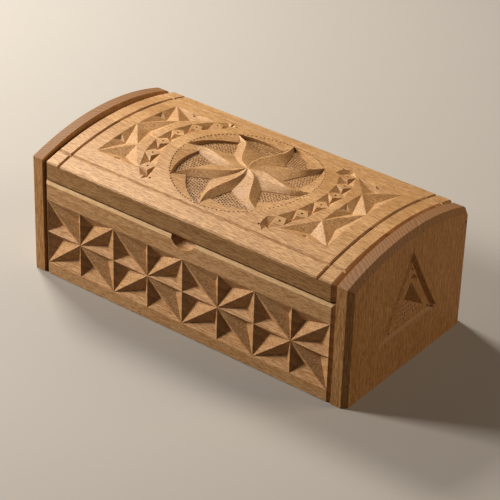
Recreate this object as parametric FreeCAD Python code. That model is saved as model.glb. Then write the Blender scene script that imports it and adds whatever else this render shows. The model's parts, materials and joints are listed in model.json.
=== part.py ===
import FreeCAD, Part
import os
from math import cos, pi, radians, sin, sqrt, tan

# Chip-carved wooden puzzle box, in millimetres.
# The origin is the middle of the base, on the surface that the box stands on.
# +X runs along the length to the right of a viewer at the front, +Y to the back, +Z up.
# The left end panel slides up on two dovetail rails. Behind it a lever in a hidden chamber
# holds a catch under the lid. With the lever swung clear, the lid opens on two pins at the rear.

# Outer sizes
length = 240.0
depth = 121.0
height = 90.2
end_thickness = 10.2
end_arch_rise = 10.6
end_chamfer = 3.2
end_rear_corner_radius = 6.0

# Lid board
lid_corner_lift = 0.2
lid_edge_thickness = 11.9
lid_arch_rise = 8.7
lid_end_gap = 0.4
lid_end_chamfer = 3.6
lid_seat_gap = 0.3
lid_open_angle = 110.0

# Walls and floor
front_thickness = 12.0
back_thickness = 10.0
panel_end_chamfer = 3.1
panel_top_chamfer = 4.6
inner_wall_thickness = 6.0
housing_depth = 3.0
floor_thickness = 6.0
floor_height = 4.0
floor_groove_depth = 4.0
floor_groove_gap = 0.2

# Thumb notch scooped out of the front panel's top edge
thumb_radius = 10.0
thumb_forward = 2.0
thumb_above_wall = 1.4

# Dowels that join the right end panel to the front and back panels
dowel_radius = 3.0
dowel_in_panel = 14.0
dowel_in_end = 6.5
dowel_edge_inset = 18.0
peg_fit = 0.03

# Hinge
hinge_setback = 4.3
hinge_pin_radius = 1.1
hinge_pin_in_lid = 14.0
hinge_running_gap = 0.05
lug_thickness = 6.0
lug_half_width = 2.6
lug_seat_depth = 26.0
lug_clearance = 0.4

# Sliding end panel
slide_gap = 0.3
slide_travel = 22.0
panel_floor_gap = 0.3
rail_root_width = 12.0
rail_crest_width = 16.0
rail_height = 5.0
rail_beside_chamber = 18.0
rail_low = 6.0
rail_top_drop = 9.6
rail_clearance = 0.25
rail_peg_radius = 1.5
rail_peg_inset = 11.0
rail_peg_in_cheek = 7.0
stop_peg_radius = 2.0
stop_peg_beside_chamber = 4.5
stop_peg_drop = 13.6
stop_peg_reach = 3.5
stop_peg_in_cheek = 7.5
stop_clearance = 0.4

# Hidden lock chamber
chamber_share = 0.33
chamber_depth = 9.0
sill_height = 5.0

# Locking lever, stored swung clear of the catch
lever_thickness = 5.0
lever_width = 9.0
lever_y = 6.0
lever_pivot_height = 34.0
lever_tail_gap = 3.0
lever_eye_radius = 7.5
lever_nose_reach = 7.0
lever_nose_height = 5.0
lever_nose_below_wall = 5.0
lever_side_gap = 0.4
lever_pivot_radius = 2.5
lever_pivot_in_wall = 4.0
lever_pivot_stand = 0.6
lever_running_gap = 0.08
finger_peg_radius = 2.0
finger_peg_reach = 3.1
finger_peg_in_lever = 4.0

# Catch under the lid
catch_width = 6.0
catch_lip_reach = 4.0
catch_lip_height = 5.0
catch_gap_to_nose = 2.5
catch_below_nose = 2.5
catch_tenon_width = 4.0
catch_tenon_length = 5.0

# Eight-ray stars on the front panel
star_count = 4
star_band_low = 8.2
star_band_drop = 14.5
star_chip_depth = 3.4
star_ray_offset = 5.3
star_edge_offset = 8.6

# Carving on the lid
groove_inset = 11.55
groove_from_end = 13.0
groove_width = 2.0
groove_depth = 1.1
rosette_back_set = 0.5
rosette_margin = 1.65
rosette_floor = 2.5
ridge_drop = 0.25
blade_count = 8
hub_radius = 1.2
field_margin = 10.4
field_width = 16.8
field_half_height = 38.4
field_node_half = 20.0
field_tip_inset = 15.9
field_chip_depth = 2.5
square_row_out = 13.0
square_step_angle = 13.7
square_half_diagonal = 5.3
square_side_reach = 3.8
square_pit_depth = 2.2
squares_per_side = 6
row_tip_angle = 45.5
row_tip_out = 18.0
row_to_field = 3.5

# Triangle carved on the end panels
triangle_apex_drop = 11.7
triangle_base_height = 25.8
triangle_half_width = 30.7
triangle_side_bow = 2.4
triangle_groove_width = 4.0
triangle_groove_depth = 2.0
triangle_inner_share = 0.5
triangle_inner_depth = 2.4

# How much of each chip's reach is cut: the rest stays as a narrow flat on the ridges
ridge_keep = 0.975
# How far every cutter is carried on above the surface
overcut = 1.0
# Two places this close count as one
same_place = 1e-6

V = FreeCAD.Vector

# Places worked out from the sizes above
half_length = length / 2
half_depth = depth / 2
end_corner_height = height - end_arch_rise
end_inner_x = half_length - end_thickness
body_left = slide_gap - end_inner_x
lid_half_length = end_inner_x - lid_end_gap
lid_corner_z = end_corner_height + lid_corner_lift
lid_under_z = lid_corner_z - lid_edge_thickness
wall_top = lid_under_z - lid_seat_gap
front_inner_y = front_thickness - half_depth
back_inner_y = half_depth - back_thickness
chamber_inner_x = body_left + chamber_depth
inner_wall_x = chamber_inner_x + inner_wall_thickness
chamber_half = depth * chamber_share / 2
rail_y = chamber_half + rail_beside_chamber
rail_top = wall_top - rail_top_drop
stop_peg_y = -chamber_half - stop_peg_beside_chamber
stop_peg_height = wall_top - stop_peg_drop
star_band_height = wall_top - star_band_drop - star_band_low
triangle_apex_height = height - triangle_apex_drop
floor_top = floor_height + floor_thickness
hinge_y = half_depth - hinge_setback
hinge_z = lid_under_z + hinge_setback
lug_x = body_left + lug_thickness
lever_x = chamber_inner_x - lever_side_gap
lever_outer_x = lever_x - lever_thickness
nose_top = wall_top - lever_nose_below_wall
nose_low = nose_top - lever_nose_height
nose_tip_y = lever_y - lever_nose_reach
lip_tip_y = nose_tip_y - catch_gap_to_nose
lip_top = nose_low - catch_below_nose
field_outer_x = lid_half_length - groove_from_end - field_margin
field_inner_x = field_outer_x - field_width
# The rosette fills the space between the long grooves, or between the rows of squares if that is less
rosette_radius = min(
    half_depth - groove_inset - rosette_back_set - rosette_margin,
    field_inner_x - row_to_field - square_half_diagonal - square_row_out,
)


def block(x_span, y_span, z_span):
    """Box between low and high values on each axis."""
    size = [high - low for low, high in (x_span, y_span, z_span)]
    return Part.makeBox(*size, V(x_span[0], y_span[0], z_span[0]))


def rod(x_span, y, z, radius):
    """Round rod along X."""
    return Part.makeCylinder(radius, x_span[1] - x_span[0], V(x_span[0], y, z), V(1, 0, 0))


def plate(corners, thickness):
    """Flat straight-sided outline, pushed along a vector."""
    return Part.Face(Part.makePolygon(corners + corners[:1])).extrude(thickness)


def closed_solid(faces):
    """Solid inside a set of faces that meet at their edges."""
    shell = Part.makeShell(faces)
    shell.sewShape()
    solid = Part.makeSolid(shell)
    if solid.Volume < 0:
        solid.reverse()
    return solid


def triangle(a, b, c):
    """Flat face on three points."""
    return Part.Face(Part.makePolygon([a, b, c, a]))


def chip(rim, deep, reach):
    """Carver's chip: facets fall from the rim to one deepest point, and go on above the surface."""
    grown = [deep + (corner - deep) * reach for corner in rim]
    facets = [triangle(deep, a, b) for a, b in zip(grown, grown[1:] + grown[:1])]
    middle = sum(grown, V()) * (1 / len(grown))
    facets += [triangle(middle, a, b) for a, b in zip(grown, grown[1:] + grown[:1])]
    return closed_solid(facets)


def chip_reach(chip_depth):
    """Scale that carries a chip's facets above the surface, less the flat kept on the ridges."""
    return ridge_keep * (chip_depth + overcut) / chip_depth


def incentre(a, b, c):
    """Point of a triangle that is equally far from its sides."""
    sides = (b.distanceToPoint(c), c.distanceToPoint(a), a.distanceToPoint(b))
    return (a * sides[0] + b * sides[1] + c * sides[2]) * (1 / sum(sides))


def arch_radius(rise):
    """Radius of an arch that spans the depth of the box."""
    return (half_depth ** 2 + rise ** 2) / (2 * rise)


def arched_board(x_span, base_z, corner_z, rise):
    """Board with a flat base and an arched top."""
    x = x_span[0]
    front_low = V(x, -half_depth, base_z)
    front_high = V(x, -half_depth, corner_z)
    crown = V(x, 0, corner_z + rise)
    back_high = V(x, half_depth, corner_z)
    back_low = V(x, half_depth, base_z)
    edges = [
        Part.LineSegment(front_low, front_high),
        Part.Arc(front_high, crown, back_high),
        Part.LineSegment(back_high, back_low),
        Part.LineSegment(back_low, front_low),
    ]
    outline = Part.Wire([edge.toShape() for edge in edges])
    return Part.Face(outline).extrude(V(x_span[1] - x, 0, 0))


def chamfer_end(board, x, size, base_z):
    """Chamfer the outline of a board's end face at x, apart from its bottom edge."""
    outline = []
    for edge in board.Edges:
        bounds = edge.BoundBox
        on_end = abs(bounds.XMin - x) < same_place and abs(bounds.XMax - x) < same_place
        if on_end and bounds.ZMax > base_z + same_place:
            outline.append(edge)
    return board.makeChamfer(size, outline)


# The lid's arched surface

lid_radius = arch_radius(lid_arch_rise)
lid_axis_z = lid_corner_z + lid_arch_rise - lid_radius


def on_lid(x, y, sunk=0.0):
    """Point on the lid's arched top, or sunk straight below it."""
    return V(x, y, lid_axis_z + sqrt(lid_radius ** 2 - y ** 2) - sunk)


def lid_chip(rim, deep_spot, chip_depth):
    """Chip in the lid's top, from flat places of its rim and its deepest point."""
    corners = [on_lid(spot.x, spot.y) for spot in rim]
    deep = on_lid(deep_spot.x, deep_spot.y, chip_depth)
    return chip(corners, deep, chip_reach(chip_depth))


def around_rosette(radius, degrees):
    """Flat place at a radius and angle about the rosette's middle."""
    angle = radians(degrees)
    return V(radius * cos(angle), rosette_back_set + radius * sin(angle), 0)


def smooth_edge(points):
    """Smooth curve through points."""
    curve = Part.BSplineCurve()
    curve.interpolate(points)
    return curve.toShape()


# Shape of one blade of the whirl, as shares of the rosette's radius: along the line to its tip, then across
blade_ridge = ((0.02, 0.0), (0.18, 0.045), (0.35, 0.025), (0.55, -0.035), (0.75, -0.07), (1.03, 0.01))
blade_left_foot = ((0.0, -0.20), (0.2, -0.22), (0.42, -0.26), (0.58, -0.21), (0.75, -0.165), (1.02, -0.02))
blade_right_foot = ((0.0, 0.09), (0.2, 0.14), (0.36, 0.135), (0.49, 0.11), (0.74, 0.03), (1.02, 0.03))
# Edge of the plain crescent beside each blade: radius share and angle past the blade's tip
crescent_edge = ((1.0, 45.0), (0.93, 32.0), (0.86, 18.0), (0.79, 5.2))
crescent_end = ((0.79, 5.2), (0.90, 0.0), (1.0, 0.0))
# Blades go this far below the ground between them, so that they stand in it
blade_root = 1.0


def turned(spot, turn):
    """Blade place, as shares of the radius, turned about the rosette's middle."""
    along = spot[0] * rosette_radius
    across = spot[1] * rosette_radius
    angle = radians(turn)
    x = along * cos(angle) - across * sin(angle)
    y = along * sin(angle) + across * cos(angle)
    return V(x, rosette_back_set + y, 0)


def rosette_blade(turn):
    """One ridged blade: two facets fall from a curved ridge to the ground on either side."""
    root_share = (rosette_floor + blade_root - ridge_drop) / (rosette_floor - ridge_drop)
    tops = [turned(spot, turn) for spot in blade_ridge]
    ridge = smooth_edge([on_lid(spot.x, spot.y, ridge_drop) for spot in tops])
    feet = []
    for foot in (blade_left_foot, blade_right_foot):
        spots = [turned(spot, turn) for spot in foot]
        roots = [top + (spot - top) * root_share for top, spot in zip(tops, spots)]
        feet.append(smooth_edge([on_lid(spot.x, spot.y, rosette_floor + blade_root) for spot in roots]))
    left, right = feet
    faces = [
        Part.makeRuledSurface(ridge, left),
        Part.makeRuledSurface(ridge, right),
        Part.makeRuledSurface(left, right),
    ]
    for end in (0, -1):
        faces.append(triangle(*[edge.Vertexes[end].Point for edge in (ridge, left, right)]))
    return closed_solid(faces)


def rosette_ground():
    """Sunk ground of the rosette, bounded by the plain crescents, with a floor that follows the arch."""
    step = 360 / blade_count
    edges = []
    for number in range(blade_count):
        for path in (crescent_edge, crescent_end):
            spots = [around_rosette(share * rosette_radius, number * step + angle) for share, angle in path]
            edges.append(smooth_edge(spots))
    outline = Part.Wire(Part.__sortEdges__(edges))
    top = lid_axis_z + lid_radius + overcut
    ground = Part.Face(outline)
    ground.translate(V(0, 0, lid_under_z))
    ground = ground.extrude(V(0, 0, top - lid_under_z))
    core_span = (-2 * rosette_radius, 2 * rosette_radius)
    return ground.cut(rod(core_span, 0, lid_axis_z, lid_radius - rosette_floor))


def rosette_blades():
    """The whirl's blades and the small button where they meet."""
    step = 360 / blade_count
    blades = [rosette_blade(number * step) for number in range(blade_count)]
    foot = on_lid(0, rosette_back_set, rosette_floor + blade_root)
    hub = Part.makeCylinder(hub_radius, rosette_floor + blade_root - ridge_drop, foot)
    return hub.fuse(blades)


def field_chips(side):
    """Large triangular chips between the row of squares and the cross groove, at one end of the lid."""
    outer = side * field_outer_x
    inner = side * field_inner_x
    tip = inner - side * field_tip_inset
    middle_y = rosette_back_set
    chips = []
    middle = V(outer, middle_y, 0)
    nodes = [V(inner, middle_y + sign * field_node_half, 0) for sign in (1, -1)]
    rims = [[middle] + nodes]
    for sign, node in zip((1, -1), nodes):
        corner = V(outer, middle_y + sign * field_half_height, 0)
        end = V(tip, middle_y + sign * field_half_height, 0)
        rims.append([corner, middle, node])
        rims.append([corner, node, end])
    for rim in rims:
        chips.append(lid_chip(rim, incentre(*rim), field_chip_depth))
    return chips


def square_row_pits(side):
    """Pits between the small squares of the curved row at one end of the lid."""
    row = rosette_radius + square_row_out
    facing = 0 if side > 0 else 180
    first = -(squares_per_side - 1) / 2 * square_step_angle
    angles = [facing + first + number * square_step_angle for number in range(squares_per_side)]
    reach = square_side_reach / row * 180 / pi
    pits = []
    for low, high in zip(angles, angles[1:]):
        rim = [
            around_rosette(row + square_half_diagonal, low),
            around_rosette(row, low + reach),
            around_rosette(row - square_half_diagonal, low),
            around_rosette(row - square_half_diagonal, high),
            around_rosette(row, high - reach),
            around_rosette(row + square_half_diagonal, high),
        ]
        pits.append(lid_chip(rim, around_rosette(row, (low + high) / 2), square_pit_depth))
    for angle, way in ((angles[0], -1), (angles[-1], 1)):
        rim = [
            around_rosette(row + square_half_diagonal, angle),
            around_rosette(row, angle + way * reach),
            around_rosette(row - square_half_diagonal, angle),
            around_rosette(rosette_radius + row_tip_out, facing + way * row_tip_angle),
        ]
        pits.append(lid_chip(rim, around_rosette(row, angle + way * square_step_angle / 2), square_pit_depth))
    return pits


def lid_grooves():
    """V grooves that frame the carving: two across the lid and two along it."""
    cutters = []
    lift = 1 + overcut / groove_depth
    half_width = groove_width / 2 * lift
    valley = lid_radius - groove_depth
    rim = lid_radius + overcut
    for side in (-1, 1):
        x = side * (lid_half_length - groove_from_end)
        outline = [
            V(x - half_width, 0, lid_axis_z + rim),
            V(x + half_width, 0, lid_axis_z + rim),
            V(x, 0, lid_axis_z + valley),
        ]
        face = Part.Face(Part.makePolygon(outline + outline[:1]))
        face.rotate(V(0, 0, lid_axis_z), V(1, 0, 0), -90)
        cutters.append(face.revolve(V(0, 0, lid_axis_z), V(1, 0, 0), 180))
    for side in (-1, 1):
        y = side * (half_depth - groove_inset)
        spot = on_lid(-half_length, y)
        outline = [
            spot + V(0, -half_width, overcut),
            spot + V(0, half_width, overcut),
            spot - V(0, 0, groove_depth),
        ]
        cutters.append(plate(outline, V(length, 0, 0)))
    return cutters


def make_lid():
    """Arched lid board with its carving, hinge bores, lug pocket and catch mortise."""
    span = (-lid_half_length, lid_half_length)
    board = arched_board(span, lid_under_z, lid_corner_z, lid_arch_rise)
    for x in span:
        board = chamfer_end(board, x, lid_end_chamfer, lid_under_z)
    # The rear lower edge is rounded about the hinge pins, so that it turns clear of the back panel
    corner = block(span, (hinge_y, half_depth + overcut), (lid_under_z - overcut, hinge_z))
    board = board.cut(corner.cut(rod(span, hinge_y, hinge_z, hinge_setback)))
    for x, sign in ((lid_half_length, -1), (-lid_half_length, 1)):
        ends = sorted((x - sign * overcut, x + sign * hinge_pin_in_lid))
        board = board.cut(rod(ends, hinge_y, hinge_z, hinge_pin_radius + hinge_running_gap))
    # The pocket lets the hinge lug pass from under the lid to behind it as the lid opens
    past_upright = radians(max(0.0, lid_open_angle - 90))
    headroom = lug_half_width / cos(past_upright) + hinge_setback * tan(past_upright) + lug_clearance
    board = board.cut(block(
        (-half_length, lug_x + lug_clearance),
        (hinge_y - lug_half_width - lug_clearance, half_depth + overcut),
        (lid_under_z - overcut, hinge_z + headroom),
    ))
    board = board.cut(make_catch_tenon())
    for cutter in lid_grooves():
        board = board.cut(cutter)
    for side in (-1, 1):
        for cutter in field_chips(side) + square_row_pits(side):
            board = board.cut(cutter)
    return board.cut(rosette_ground()).fuse(rosette_blades())


# Catch under the lid

catch_back_y = lip_tip_y - catch_lip_reach
catch_front_y = catch_back_y - catch_width
catch_low = lip_top - catch_lip_height


def make_catch_tenon():
    """Tenon of the catch, which is also the mortise that it fills in the lid."""
    shoulder = (catch_width - catch_tenon_width) / 2
    return block(
        (lever_outer_x, lever_x),
        (catch_front_y + shoulder, catch_back_y - shoulder),
        (lid_under_z, lid_under_z + catch_tenon_length),
    )


def make_lid_catch():
    """Hook that hangs from the lid into the lock chamber."""
    outline = [
        (catch_front_y, lid_under_z),
        (catch_back_y, lid_under_z),
        (catch_back_y, lip_top),
        (lip_tip_y, lip_top),
        (lip_tip_y, catch_low),
        (catch_front_y, catch_low),
    ]
    hook = plate([V(lever_outer_x, y, z) for y, z in outline], V(lever_thickness, 0, 0))
    return hook.fuse(make_catch_tenon()).removeSplitter()


# Locking lever

lever_tail_low = sill_height + lever_tail_gap
lever_tail_z = lever_tail_low + lever_width / 2


def make_locking_lever():
    """Bar with a round tail, an eye for its pivot and a nose that reaches over the catch's lip."""
    half_width = lever_width / 2
    x_span = (lever_outer_x, lever_x)
    bar = block(x_span, (lever_y - half_width, lever_y + half_width), (lever_tail_z, nose_top))
    tail = rod(x_span, lever_y, lever_tail_z, half_width)
    eye = rod(x_span, lever_y, lever_pivot_height, lever_eye_radius)
    nose = block(x_span, (nose_tip_y, lever_y), (nose_low, nose_top))
    lever = bar.fuse([tail, eye, nose]).removeSplitter()
    lever = lever.cut(rod(x_span, lever_y, lever_pivot_height, lever_pivot_radius + lever_running_gap))
    return lever.cut(rod(finger_peg_span(), lever_y, lever_tail_z, finger_peg_radius + peg_fit))


def finger_peg_span():
    """X span of the peg that the finger pushes."""
    return (lever_outer_x - finger_peg_reach, lever_outer_x + finger_peg_in_lever)


def make_lever_finger_peg():
    """Peg in the lever's tail, within the chamber's mouth."""
    return rod(finger_peg_span(), lever_y, lever_tail_z, finger_peg_radius)


def lever_pivot_span():
    """X span of the lever's pivot, from the inner wall to just past the lever."""
    return (lever_outer_x - lever_pivot_stand, chamber_inner_x + lever_pivot_in_wall)


def make_lever_pivot_peg():
    """Peg in the inner wall that the lever turns on."""
    return rod(lever_pivot_span(), lever_y, lever_pivot_height, lever_pivot_radius)


# Sliding dovetails

rail_sides = {"front": -1, "rear": 1}


def rail_profile(side, z_span, clearance):
    """Dovetail along Z: narrow at the box, wide at its crest."""
    y = side * rail_y
    slope = (rail_crest_width - rail_root_width) / (2 * rail_height)
    root_half = rail_root_width / 2 + clearance
    crest_half = rail_crest_width / 2 + clearance * (1 + slope)
    crest_x = body_left - rail_height - clearance
    corners = [
        V(body_left, y - root_half, z_span[0]),
        V(body_left, y + root_half, z_span[0]),
        V(crest_x, y + crest_half, z_span[0]),
        V(crest_x, y - crest_half, z_span[0]),
    ]
    return plate(corners, V(0, 0, z_span[1] - z_span[0]))


def rail_pegs(side, radius):
    """Pegs through one rail into its cheek."""
    span = (body_left - rail_height, body_left + rail_peg_in_cheek)
    levels = (rail_low + rail_peg_inset, rail_top - rail_peg_inset)
    return [rod(span, side * rail_y, z, radius) for z in levels]


def make_dovetail_rail(side):
    """Rail that the end panel slides on."""
    rail = rail_profile(side, (rail_low, rail_top), 0.0)
    return rail.cut(rail_pegs(side, rail_peg_radius + peg_fit))


def make_rail_pegs():
    """All four rail pegs."""
    pegs = [peg for side in rail_sides.values() for peg in rail_pegs(side, rail_peg_radius)]
    return Part.makeCompound(pegs)


def make_stop_peg(radius=stop_peg_radius):
    """Peg in the front cheek that ends the panel's travel."""
    span = (body_left - stop_peg_reach, body_left + stop_peg_in_cheek)
    return rod(span, stop_peg_y, stop_peg_height, radius)


# End panels

def triangle_chips():
    """Bowed triangle on an end panel's outer face: two long chips to a side, and a sunk heart."""
    face_x = half_length
    middle_z = triangle_base_height + (triangle_apex_height - triangle_base_height) / 3
    centre = V(face_x, 0, middle_z)
    corners = [
        V(face_x, 0, triangle_apex_height),
        V(face_x, triangle_half_width, triangle_base_height),
        V(face_x, -triangle_half_width, triangle_base_height),
    ]
    chips = []
    for start, end in zip(corners, corners[1:] + corners[:1]):
        middle = (start + end) * 0.5
        inward = (centre - middle).normalize()
        bend = middle + inward * triangle_side_bow
        for tip in (start, end):
            inner = (tip + bend) * 0.5 + inward * triangle_groove_width
            rim = [tip, bend, inner]
            deep = incentre(*rim) - V(triangle_groove_depth, 0, 0)
            chips.append(chip(rim, deep, chip_reach(triangle_groove_depth)))
    heart = [centre + (corner - centre) * triangle_inner_share for corner in corners]
    deep = centre - V(triangle_inner_depth, 0, 0)
    chips.append(chip(heart, deep, chip_reach(triangle_inner_depth)))
    return chips


def make_end_board(base_z):
    """Arched end board at the +X end, with its chamfers and carving."""
    board = arched_board((end_inner_x, half_length), base_z, end_corner_height, end_arch_rise)
    rear_corner = [
        edge for edge in board.Edges
        if abs(edge.CenterOfMass.y - half_depth) < same_place and abs(edge.CenterOfMass.z - end_corner_height) < same_place
    ]
    board = board.makeFillet(end_rear_corner_radius, rear_corner)
    board = chamfer_end(board, half_length, end_chamfer, base_z)
    for cutter in triangle_chips():
        board = board.cut(cutter)
    return board


def make_right_end_panel():
    """Fixed end panel, with the hinge brad's hole, the floor groove and the dowel holes."""
    board = make_end_board(0.0)
    board = board.cut(rod((0, length), hinge_y, hinge_z, hinge_pin_radius + peg_fit))
    board = board.cut(floor_groove())
    return board.cut(end_dowels(dowel_radius + peg_fit))


def make_left_end_panel():
    """Sliding end panel, with the dovetail grooves and the stop slot in its hidden face."""
    board = make_end_board(panel_floor_gap).mirror(V(), V(1, 0, 0))
    for side in rail_sides.values():
        board = board.cut(rail_profile(side, (-overcut, rail_top + stop_clearance), rail_clearance))
    slot_half = stop_peg_radius + stop_clearance
    slot_x = body_left - stop_peg_reach - stop_clearance
    slot_ends = [V(slot_x, stop_peg_y, stop_peg_height), V(slot_x, stop_peg_y, stop_peg_height - slide_travel)]
    slot = block(
        (slot_x, body_left),
        (stop_peg_y - slot_half, stop_peg_y + slot_half),
        (slot_ends[1].z, slot_ends[0].z),
    )
    rounds = [Part.makeCylinder(slot_half, body_left - slot_x, end, V(1, 0, 0)) for end in slot_ends]
    return board.cut(slot.fuse(rounds).removeSplitter())


# Walls and floor

def make_bottom_board(gap=floor_groove_gap):
    """Floor board that stands in grooves all round."""
    reach = floor_groove_depth - gap
    return block(
        (inner_wall_x - housing_depth + gap, end_inner_x + reach),
        (front_inner_y - reach, back_inner_y + reach),
        (floor_height, floor_top),
    )


def floor_groove():
    """Space that the floor board's edges take in the walls."""
    return make_bottom_board(0.0)


def inner_wall_board():
    """Board between the inside and the lock chamber, housed in the front and back panels."""
    return block(
        (chamber_inner_x, inner_wall_x),
        (front_inner_y - housing_depth, back_inner_y + housing_depth),
        (0, wall_top),
    )


def make_left_inner_wall():
    """Inner wall, with the floor groove and the hole for the lever's pivot."""
    pivot_hole = rod(lever_pivot_span(), lever_y, lever_pivot_height, lever_pivot_radius + peg_fit)
    return inner_wall_board().cut([floor_groove(), pivot_hole])


def end_dowels(radius):
    """Dowels across the joint between the right end panel and the two long panels."""
    span = (end_inner_x - dowel_in_panel, end_inner_x + dowel_in_end)
    rows = (front_inner_y - front_thickness / 2, back_inner_y + back_thickness / 2)
    levels = (dowel_edge_inset, wall_top - dowel_edge_inset)
    return [rod(span, y, z, radius) for y in rows for z in levels]


def long_panel(y_inner, y_outer):
    """Long wall with chamfered outer ends and top, before its joints are cut."""
    panel = block((body_left, end_inner_x), sorted((y_inner, y_outer)), (0, wall_top))
    inward = 1 if y_inner > y_outer else -1
    for x, sign in ((body_left, 1), (end_inner_x, -1)):
        corners = [
            V(x, y_outer, 0),
            V(x + sign * panel_end_chamfer, y_outer, 0),
            V(x, y_outer + inward * panel_end_chamfer, 0),
        ]
        panel = panel.cut(plate(corners, V(0, 0, wall_top)))
    corners = [
        V(body_left, y_outer, wall_top),
        V(body_left, y_outer + inward * panel_top_chamfer, wall_top),
        V(body_left, y_outer, wall_top - panel_top_chamfer),
    ]
    return panel.cut(plate(corners, V(length, 0, 0)))


def star_chips():
    """Eight chips round each star's middle, between rays to the corners and to the middles of the sides."""
    band_left = body_left + panel_end_chamfer
    band_right = end_inner_x - panel_end_chamfer
    half_width = (band_right - band_left) / star_count / 2
    half_height = star_band_height / 2
    middle_z = star_band_low + half_height
    face_y = -half_depth
    deep_y = face_y + star_chip_depth
    reach = chip_reach(star_chip_depth)
    chips = []
    for number in range(star_count):
        x = band_left + (2 * number + 1) * half_width
        centre = V(x, face_y, middle_z)
        for to_right in (-1, 1):
            for up in (-1, 1):
                side = V(x + to_right * half_width, face_y, middle_z)
                top = V(x, face_y, middle_z + up * half_height)
                corner = V(x + to_right * half_width, face_y, middle_z + up * half_height)
                side_deep = V(
                    side.x - to_right * star_edge_offset, deep_y, middle_z + up * star_ray_offset)
                top_deep = V(
                    x + to_right * star_ray_offset, deep_y, top.z - up * star_edge_offset)
                chips.append(chip([centre, side, corner], side_deep, reach))
                chips.append(chip([centre, top, corner], top_deep, reach))
    return chips


def make_front_panel():
    """Front wall with the band of stars and the thumb notch."""
    panel = long_panel(front_inner_y, -half_depth)
    panel = panel.cut(floor_groove()).cut(inner_wall_board())
    panel = panel.cut(end_dowels(dowel_radius + peg_fit))
    notch = Part.makeSphere(thumb_radius, V(0, -half_depth - thumb_forward, wall_top + thumb_above_wall))
    panel = panel.cut(notch)
    for cutter in star_chips():
        panel = panel.cut(cutter)
    return panel


def make_back_panel():
    """Back wall, with a seat for the hinge lug at its left end."""
    panel = long_panel(back_inner_y, half_depth)
    panel = panel.cut(floor_groove()).cut(inner_wall_board())
    panel = panel.cut(end_dowels(dowel_radius + peg_fit))
    return panel.cut(make_hinge_lug(hinge_pin_radius))


def make_lock_cheek(y_span, cuts):
    """Block beside the lock chamber, which carries a rail."""
    cheek = block((body_left, chamber_inner_x), y_span, (0, wall_top))
    return cheek.cut(cuts)


def make_hinge_lug(bore_radius):
    """Upright lug in the back panel's end that carries the left hinge pin."""
    x_span = (body_left, lug_x)
    y_span = (hinge_y - lug_half_width, hinge_y + lug_half_width)
    stem = block(x_span, y_span, (wall_top - lug_seat_depth, hinge_z))
    lug = stem.fuse(rod(x_span, hinge_y, hinge_z, lug_half_width)).removeSplitter()
    return lug.cut(rod(x_span, hinge_y, hinge_z, bore_radius))


def make_hinge_pin_left():
    """Pin through the lug into the lid."""
    return rod((body_left, -lid_half_length + hinge_pin_in_lid - overcut), hinge_y, hinge_z, hinge_pin_radius)


def make_hinge_brad_right():
    """Brad driven through the right end panel into the lid."""
    return rod((lid_half_length - hinge_pin_in_lid + overcut, half_length), hinge_y, hinge_z, hinge_pin_radius)


def make_pieces():
    """Every piece of the box, by name."""
    front_cuts = rail_pegs(rail_sides["front"], rail_peg_radius + peg_fit)
    front_cuts.append(make_stop_peg(stop_peg_radius + peg_fit))
    rear_cuts = rail_pegs(rail_sides["rear"], rail_peg_radius + peg_fit)
    return {
        "front_panel": make_front_panel(),
        "back_panel": make_back_panel(),
        "right_end_panel": make_right_end_panel(),
        "left_inner_wall": make_left_inner_wall(),
        "bottom_board": make_bottom_board(),
        "lock_cheek_front": make_lock_cheek((front_inner_y, -chamber_half), front_cuts),
        "lock_cheek_rear": make_lock_cheek((chamber_half, back_inner_y), rear_cuts),
        "lock_sill": block((body_left, chamber_inner_x), (-chamber_half, chamber_half), (0, sill_height)),
        "dovetail_rail_front": make_dovetail_rail(rail_sides["front"]),
        "dovetail_rail_rear": make_dovetail_rail(rail_sides["rear"]),
        "rail_pegs": make_rail_pegs(),
        "stop_peg": make_stop_peg(),
        "end_dowels": Part.makeCompound(end_dowels(dowel_radius)),
        "lever_pivot_peg": make_lever_pivot_peg(),
        "hinge_lug": make_hinge_lug(hinge_pin_radius + peg_fit),
        "hinge_pin_left": make_hinge_pin_left(),
        "hinge_brad_right": make_hinge_brad_right(),
        "left_end_panel": make_left_end_panel(),
        "locking_lever": make_locking_lever(),
        "lever_finger_peg": make_lever_finger_peg(),
        "lid": make_lid(),
        "lid_catch": make_lid_catch(),
    }


os.makedirs("parts", exist_ok=True)
for name, shape in make_pieces().items():
    shape.exportStep("parts/" + name + ".step")
    print(name, "solids", len(shape.Solids), "valid", shape.isValid(), "volume", round(shape.Volume, 1))
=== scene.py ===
"""Looks of a chip-carved wooden puzzle box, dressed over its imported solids.

Sizes are in millimetres and become metres where a mesh is made.
"""

import itertools
import json
import logging
import math
import random
from abc import ABC, abstractmethod
from collections.abc import Callable, Iterator, Sequence
from dataclasses import dataclass, field
from enum import Enum
from functools import partial
from typing import Any

import bmesh
import bpy
from mathutils import Matrix, Vector
from mathutils.geometry import delaunay_2d_cdt


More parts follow.
